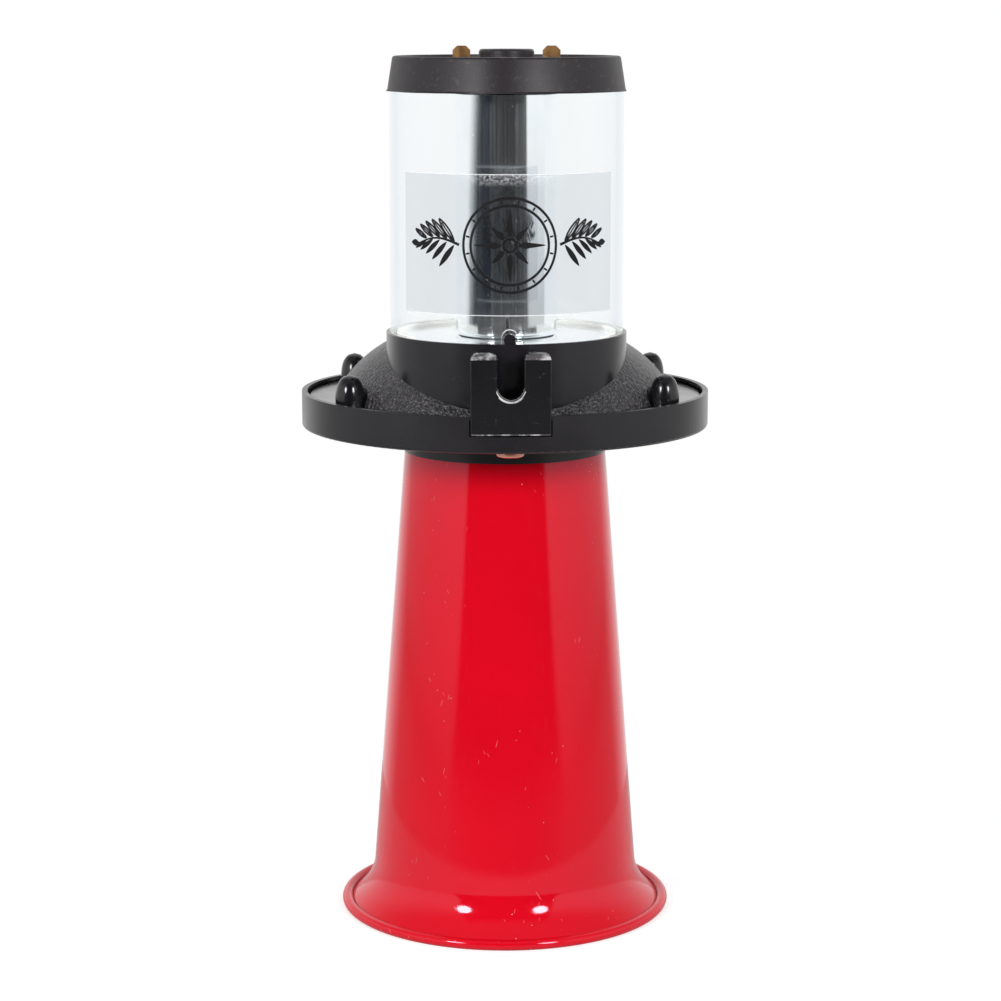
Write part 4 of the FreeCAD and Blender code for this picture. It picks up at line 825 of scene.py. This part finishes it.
def buildPrint(shape, radius, middle):
    mesh = bpy.data.meshes.new("labelPrint")
    sheet = bmesh.new()
    lift = radius + shape["lift"]
    line = shape["line"]

    def draw(points, widths):
        stroke(sheet, lift, middle, points, widths)

    for ringRadius in (shape["ring"], shape["innerRing"], shape["hub"]):
        circle = arcPoints((0, 0), ringRadius, 0, 360, shape["ringSteps"])
        draw(circle, [line] * len(circle))

    steps, root = shape["starSteps"], shape["starFrom"]
    for i in range(shape["starPoints"]):
        angle = 2 * math.pi * i / shape["starPoints"]
        reach = (shape["innerRing"] - shape["starGap"]) * (1.0 if i % 2 == 0 else shape["shortPoint"])
        way = Vector((math.cos(angle), math.sin(angle)))
        spine = [tuple(way * (root + (reach - root) * t / steps)) for t in range(steps + 1)]
        draw(spine, [shape["starWidth"] * (1 - t / steps) ** 0.8 * min(1, 0.25 + t / 3) + 0.12
                     for t in range(steps + 1)])

    tick = (shape["ring"] + shape["innerRing"]) / 2
    tickHalf = shape["tickLength"] / 2
    for i in range(shape["ticks"]):
        angle = 2 * math.pi * (i + 0.5) / shape["ticks"]
        way = Vector((math.cos(angle), math.sin(angle)))
        draw([tuple(way * (tick - tickHalf)), tuple(way * (tick + tickHalf))], [shape["tickWidth"]] * 2)

    # Each spray has a curved stem, outlined leaves above, filled leaves below and a bud at its tip
    for side in (-1, 1):
        steps = shape["stemSteps"]
        stem = []
        for t in range(steps + 1):
            along = shape["stemFrom"] + (shape["stemTo"] - shape["stemFrom"]) * t / steps
            stem.append((side * along, shape["stemRise"] * math.sin(math.pi * t / steps)))
        draw(stem, [line * (1.1 - 0.6 * t / steps) for t in range(steps + 1)])
        steps = shape["leafSteps"]
        for i in range(shape["leaves"]):
            root = Vector(stem[2 + i * 4])
            for up in (-1, 1):
                lean = math.radians(shape["leafDegrees"][0] - i * shape["leafDegrees"][1]) * up
                way = Vector((side * math.cos(lean), math.sin(lean)))
                aside = Vector((-way.y, way.x))
                length = shape["leafLength"] * (1 - shape["shorter"] * i)
                width = shape["leafWidth"] * (1 - shape["narrower"] * i)
                rib = [tuple(root + way * (shape["leafRoot"] + length * t / steps)) for t in range(steps + 1)]
                swell = [math.sin(math.pi * t / steps) ** 0.8 * width for t in range(steps + 1)]
                if up < 0:
                    draw(rib, [0.15 + s for s in swell])
                    continue
                for edge in (-1, 1):
                    rim = [tuple(Vector(p) + aside * edge * s / 2) for p, s in zip(rib, swell)]
                    draw(rim, [line * 0.75] * len(rim))
                draw(rib[:-2], [line * 0.6] * (len(rib) - 2))
        tip = Vector(stem[-1])
        steps = shape["budSteps"]
        draw([tuple(tip + Vector((side * shape["budStep"] * t, 0))) for t in range(steps + 1)],
             [shape["hair"] + shape["budWidth"] * math.sin(math.pi * t / steps) for t in range(steps + 1)])
    bmesh.ops.recalc_face_normals(sheet, faces=sheet.faces)
    sheet.to_mesh(mesh)
    sheet.free()
    ornament = settle(showMesh("labelPrint", mesh, "printingInk"), "clear_film")
    ornament.visible_glossy = False


filmRadius, filmMiddle = buildFilm(filmShape)
buildPrint(printShape, filmRadius, filmMiddle)
print("film laid and printed")

# Finishes of the CAD nodes that show as they are
nodeFinishes = {
    "front_gasket": "gasketRubber", "rear_gasket": "gasketRubber",
    "flange_nuts": "zincPlate", "motor_plate": "nickelPlate", "motor_screws": "zincPlate", "motor_can": "nickelPlate",
    "front_bearing": "stampedBrass", "rear_bearing": "stampedBrass", "end_bell": "satinNylon",
    "tail_bush": "zincPlate", "field_magnets": "pressedFerrite", "magnet_clips": "springSteel",
    "brushes": "pressedFerrite", "brush_arms": "copperPlate", "motor_shaft": "brightSteel",
    "armature_core": "springSteel", "armature_windings": "enamelledWire", "commutator": "copperPlate",
    "thrust_washers": "whiteNylon", "ratchet_wheel": "brightSteel", "wheel_clip": "springSteel",
    "anvil": "brightSteel", "anvil_washer": "zincPlate", "anvil_nut": "zincPlate", "thrust_ball": "brightSteel",
    "adjusting_screw": "blackenedSteel",
}
for nodeName, finish in nodeFinishes.items():
    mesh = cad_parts[nodeName].data
    mesh.materials.clear()
    mesh.materials.append(finishes[finish])
print("nodes finished:", len(nodeFinishes))

# Camera: the photograph's place, a long lens a little above the object and 10 degrees down
cameraShape = {"focalPixels": 2755.0, "imagePixels": 1001, "sensor": 36.0, "distance": 769.0, "height": 253.0,
               "pitchDegrees": 10.0, "aroundDegrees": 1.5, "asidePixels": 4.5, "clipStart": 0.01}


def buildCamera(shape):
    data = bpy.data.cameras.new("photoCamera")
    data.sensor_width = shape["sensor"]
    data.lens = shape["focalPixels"] / shape["imagePixels"] * shape["sensor"]
    data.clip_start = shape["clipStart"]
    camera = bpy.data.objects.new("photoCamera", data)
    bpy.context.scene.collection.objects.link(camera)
    around = math.radians(shape["aroundDegrees"])
    aside = shape["asidePixels"] * shape["distance"] / shape["focalPixels"]
    right = Vector((math.cos(around), -math.sin(around), 0))
    back = Vector((-math.sin(around), -math.cos(around), 0))
    camera.location = (back * shape["distance"] - right * aside + Vector((0, 0, shape["height"]))) * mm
    camera.rotation_euler = (math.radians(90 - shape["pitchDegrees"]), 0, -around)
    bpy.context.scene.camera = camera


buildCamera(cameraShape)

# Studio: two lamps at the front, a big pale panel down each side, a white backdrop and a dark room in front
# (angles in degrees, bearings from the front; the other lengths in metres)
studio = {
    "lampDegrees": (-37.0, 29.0), "lampRise": 21.0, "lampDistance": 1.1, "lampSize": (0.23, 0.3), "lampWatts": 5.5,
    "lampAim": 0.1,
    "room": 0.04, "tableFront": 0.3, "tableSide": 0.42, "tableTurn": (20.0, 60.0), "tableEdge": (-9.5, -6.5),
    "panel": 1.05, "panelFrom": 40.0, "panelFoot": -8.5, "panelCorner": 18.0, "panelSoft": 2.0,
    "panelTop": (12.0, 48.0), "panelLow": 0.58, "panelFade": (-6.5, -2.0),
    "backdrop": 1.0, "backdropFrom": (100.0, 150.0), "whiteFrom": 95.0, "ceiling": 0.3, "ceilingFrom": (38.0, 60.0),
    "felt": "#20262f", "flagDegrees": (-34.0, -112.0), "flagSteps": 24, "flagFade": (-95.0, -58.0), "flagLean": 2.4,
    "flagLevel": 0.21, "flagReach": 0.62, "flagHeights": (0.02, 0.45),
    "floor": "#cfcfcf", "floorRadius": 0.17, "floorGlow": 0.6, "glossGlow": 0.15,
}


def buildStudio(shape):
    for degrees in shape["lampDegrees"]:
        data = bpy.data.lights.new("softLamp", "AREA")
        data.shape = "ELLIPSE"
        data.size, data.size_y = shape["lampSize"]
        data.energy = shape["lampWatts"]
        lamp = bpy.data.objects.new("softLamp", data)
        bpy.context.scene.collection.objects.link(lamp)
        around = math.radians(degrees)
        rise = math.radians(shape["lampRise"])
        way = Vector((math.sin(around) * math.cos(rise), -math.cos(around) * math.cos(rise), math.sin(rise)))
        lamp.location = Vector((0, 0, shape["lampAim"])) + way * shape["lampDistance"]
        lamp.rotation_euler = way.to_track_quat("Z", "Y").to_euler()

    # The room is drawn by bearing (0 at the front) and height angle
    world = bpy.data.worlds.new("studio")
    world.use_nodes = True
    tree = world.node_tree
    tree.nodes.clear()
    way = addNode(tree, "ShaderNodeTexCoord").outputs["Generated"]
    apart = addNode(tree, "ShaderNodeSeparateXYZ", {}, {0: way})
    ahead = addNode(tree, "ShaderNodeMath", {"operation": "MULTIPLY", 1: -1.0}, {0: apart.outputs["Y"]})
    turn = addNode(tree, "ShaderNodeMath", {"operation": "ARCTAN2"}, {0: apart.outputs["X"], 1: ahead.outputs[0]})
    bearing = addNode(tree, "ShaderNodeMath", {"operation": "ABSOLUTE"}, {0: turn.outputs[0]})
    rise = addNode(tree, "ShaderNodeMath", {"operation": "ARCSINE"}, {0: apart.outputs["Z"]})
    corner = math.radians(shape["panelCorner"])
    short = addNode(tree, "ShaderNodeMath", {"operation": "SUBTRACT", 0: math.radians(shape["panelFrom"]) + corner},
                    {1: bearing.outputs[0]})
    under = addNode(tree, "ShaderNodeMath", {"operation": "SUBTRACT", 0: math.radians(shape["panelFoot"]) + corner},
                    {1: rise.outputs[0]})
    shortMost = addNode(tree, "ShaderNodeMath", {"operation": "MAXIMUM", 1: 0.0}, {0: short.outputs[0]})
    underMost = addNode(tree, "ShaderNodeMath", {"operation": "MAXIMUM", 1: 0.0}, {0: under.outputs[0]})
    reach = addNode(tree, "ShaderNodeCombineXYZ", {}, {0: shortMost.outputs[0], 1: underMost.outputs[0]})
    away = addNode(tree, "ShaderNodeVectorMath", {"operation": "LENGTH"}, {0: reach.outputs[0]})
    soft = math.radians(shape["panelSoft"])
    panel = addNode(tree, "ShaderNodeMapRange", {
        "interpolation_type": "SMOOTHSTEP", 1: corner - soft, 2: corner + soft, 3: shape["panel"], 4: 0.0},
        {0: away.outputs["Value"]})
    least, most = map(math.radians, shape["panelTop"])
    upper = addNode(tree, "ShaderNodeMapRange", {
        "interpolation_type": "SMOOTHSTEP", 1: least, 2: most, 3: 1.0, 4: shape["ceiling"]}, {0: rise.outputs[0]})
    least, most = map(math.radians, shape["panelFade"])
    lower = addNode(tree, "ShaderNodeMapRange", {1: least, 2: most, 3: shape["panelLow"], 4: 1.0},
                    {0: rise.outputs[0]})
    for share in (upper, lower):
        panel = addNode(tree, "ShaderNodeMath", {"operation": "MULTIPLY"}, {0: panel.outputs[0], 1: share.outputs[0]})
    least, most = map(math.radians, shape["tableTurn"])
    across = addNode(tree, "ShaderNodeMapRange", {
        "interpolation_type": "SMOOTHSTEP", 1: least, 2: most, 3: shape["tableFront"], 4: shape["tableSide"]},
        {0: bearing.outputs[0]})
    least, most = map(math.radians, shape["tableEdge"])
    table = addNode(tree, "ShaderNodeMapRange", {
        "interpolation_type": "SMOOTHSTEP", 1: least, 2: most, 4: shape["room"]},
        {0: rise.outputs[0], 3: across.outputs[0]})
    least, most = map(math.radians, shape["backdropFrom"])
    backdrop = addNode(tree, "ShaderNodeMapRange", {
        "interpolation_type": "SMOOTHSTEP", 1: least, 2: most, 3: 0.0, 4: shape["backdrop"]}, {0: bearing.outputs[0]})
    least, most = map(math.radians, shape["ceilingFrom"])
    ceiling = addNode(tree, "ShaderNodeMapRange", {
        "interpolation_type": "SMOOTHSTEP", 1: least, 2: most, 3: 0.0, 4: shape["ceiling"]}, {0: rise.outputs[0]})
    level = table.outputs[0]
    for other in (panel, backdrop, ceiling):
        level = addNode(tree, "ShaderNodeMath", {"operation": "MAXIMUM"}, {0: level, 1: other.outputs[0]}).outputs[0]
    path = addNode(tree, "ShaderNodeLightPath")
    noGloss = addNode(tree, "ShaderNodeMath", {"operation": "LESS_THAN", 1: 0.5}, {0: path.outputs["Glossy Depth"]})
    # Light that bounces along the tube's wall still comes from the white behind it
    behind = addNode(tree, "ShaderNodeMath", {"operation": "GREATER_THAN", 1: math.radians(shape["whiteFrom"])},
                     {0: bearing.outputs[0]})
    clear = addNode(tree, "ShaderNodeMath", {"operation": "MAXIMUM"}, {0: noGloss.outputs[0], 1: behind.outputs[0]})
    through = addNode(tree, "ShaderNodeMath", {"operation": "MULTIPLY"},
                      {0: path.outputs["Is Transmission Ray"], 1: clear.outputs[0]})
    white = addNode(tree, "ShaderNodeMath", {"operation": "MAXIMUM"},
                    {0: path.outputs["Is Camera Ray"], 1: through.outputs[0]})
    strength = addNode(tree, "ShaderNodeMix", {"data_type": "FLOAT", 3: 1.0}, {0: white.outputs[0], 2: level})
    light = addNode(tree, "ShaderNodeBackground", {"Color": (1, 1, 1, 1)}, {"Strength": strength.outputs[0]})
    addNode(tree, "ShaderNodeOutputWorld", {}, {"Surface": light.outputs[0]})
    bpy.context.scene.world = world

    mesh = bpy.data.meshes.new("floorDisc")
    disc = bmesh.new()
    bmesh.ops.create_circle(disc, cap_ends=True, segments=96, radius=shape["floorRadius"])
    disc.to_mesh(mesh)
    disc.free()
    floor = bpy.data.objects.new("floorDisc", mesh)
    bpy.context.scene.collection.objects.link(floor)
    material, tree = startMaterial("paleFloor")[:2]
    path = addNode(tree, "ShaderNodeLightPath")
    seen = addNode(tree, "ShaderNodeMath", {"operation": "MAXIMUM"},
                   {0: path.outputs["Is Camera Ray"], 1: path.outputs["Is Transmission Ray"]})
    inGloss = addNode(tree, "ShaderNodeMath", {"operation": "MULTIPLY", 1: shape["glossGlow"]},
                      {0: path.outputs["Is Glossy Ray"]})
    plain = addNode(tree, "ShaderNodeMath", {"operation": "MULTIPLY", 1: shape["floorGlow"]}, {0: seen.outputs[0]})
    glow = addNode(tree, "ShaderNodeMath", {"operation": "MAXIMUM"}, {0: plain.outputs[0], 1: inGloss.outputs[0]})
    card = addNode(tree, "ShaderNodeBsdfDiffuse", {"Color": linearColour(shape["floor"])})
    light = addNode(tree, "ShaderNodeEmission", {}, {"Strength": glow.outputs[0]})
    shader = addNode(tree, "ShaderNodeAddShader", {}, {0: card.outputs[0], 1: light.outputs[0]})
    closeMaterial(tree, shader)
    mesh.materials.append(material)

    # A black flag at the left, fading out along a slanted edge, seen only as the dark half of the polished motor can
    mesh = bpy.data.meshes.new("blackFlag")
    card = bmesh.new()
    first, last = shape["flagDegrees"]
    columns = []
    for i in range(shape["flagSteps"] + 1):
        angle = math.radians(first + (last - first) * i / shape["flagSteps"])
        x, y = shape["flagReach"] * math.sin(angle), -shape["flagReach"] * math.cos(angle)
        columns.append([card.verts.new((x, y, up)) for up in shape["flagHeights"]])
    for here, following in zip(columns, columns[1:]):
        card.faces.new((here[0], following[0], following[1], here[1]))
    card.to_mesh(mesh)
    card.free()
    flag = bpy.data.objects.new("blackFlag", mesh)
    bpy.context.scene.collection.objects.link(flag)
    flag.visible_camera = flag.visible_diffuse = flag.visible_shadow = False
    material, tree, place = startMaterial("blackFelt")
    path = addNode(tree, "ShaderNodeLightPath")
    inMirror = addNode(tree, "ShaderNodeMath", {"operation": "GREATER_THAN", 1: 0.5},
                       {0: path.outputs["Glossy Depth"]})
    inTube = addNode(tree, "ShaderNodeMath", {"operation": "GREATER_THAN", 1: 0.5},
                     {0: path.outputs["Transmission Depth"]})
    mirrored = addNode(tree, "ShaderNodeMath", {"operation": "MULTIPLY"},
                       {0: inMirror.outputs[0], 1: inTube.outputs[0]})
    apart = addNode(tree, "ShaderNodeSeparateXYZ", {}, {0: place})
    ahead = addNode(tree, "ShaderNodeMath", {"operation": "MULTIPLY", 1: -1.0}, {0: apart.outputs["Y"]})
    turn = addNode(tree, "ShaderNodeMath", {"operation": "ARCTAN2"}, {0: apart.outputs["X"], 1: ahead.outputs[0]})
    drop = addNode(tree, "ShaderNodeMath", {"operation": "SUBTRACT", 0: shape["flagLevel"]}, {1: apart.outputs["Z"]})
    slanted = addNode(tree, "ShaderNodeMath", {"operation": "MULTIPLY_ADD", 1: shape["flagLean"]},
                      {0: drop.outputs[0], 2: turn.outputs[0]})
    least, most = map(math.radians, shape["flagFade"])
    fade = addNode(tree, "ShaderNodeMapRange", {
        "interpolation_type": "SMOOTHSTEP", 1: least, 2: most, 3: 0.0, 4: 1.0}, {0: slanted.outputs[0]})
    faded = addNode(tree, "ShaderNodeMath", {"operation": "MULTIPLY"}, {0: mirrored.outputs[0], 1: fade.outputs[0]})
    gap = addNode(tree, "ShaderNodeBsdfTransparent")
    felt = addNode(tree, "ShaderNodeBsdfDiffuse", {"Color": linearColour(shape["felt"])})
    shader = addNode(tree, "ShaderNodeMixShader", {}, {0: faded.outputs[0], 1: gap.outputs[0], 2: felt.outputs[0]})
    closeMaterial(tree, shader)
    mesh.materials.append(material)


buildStudio(studio)
bpy.context.scene.view_settings.view_transform = "Standard"
print("camera and studio set")
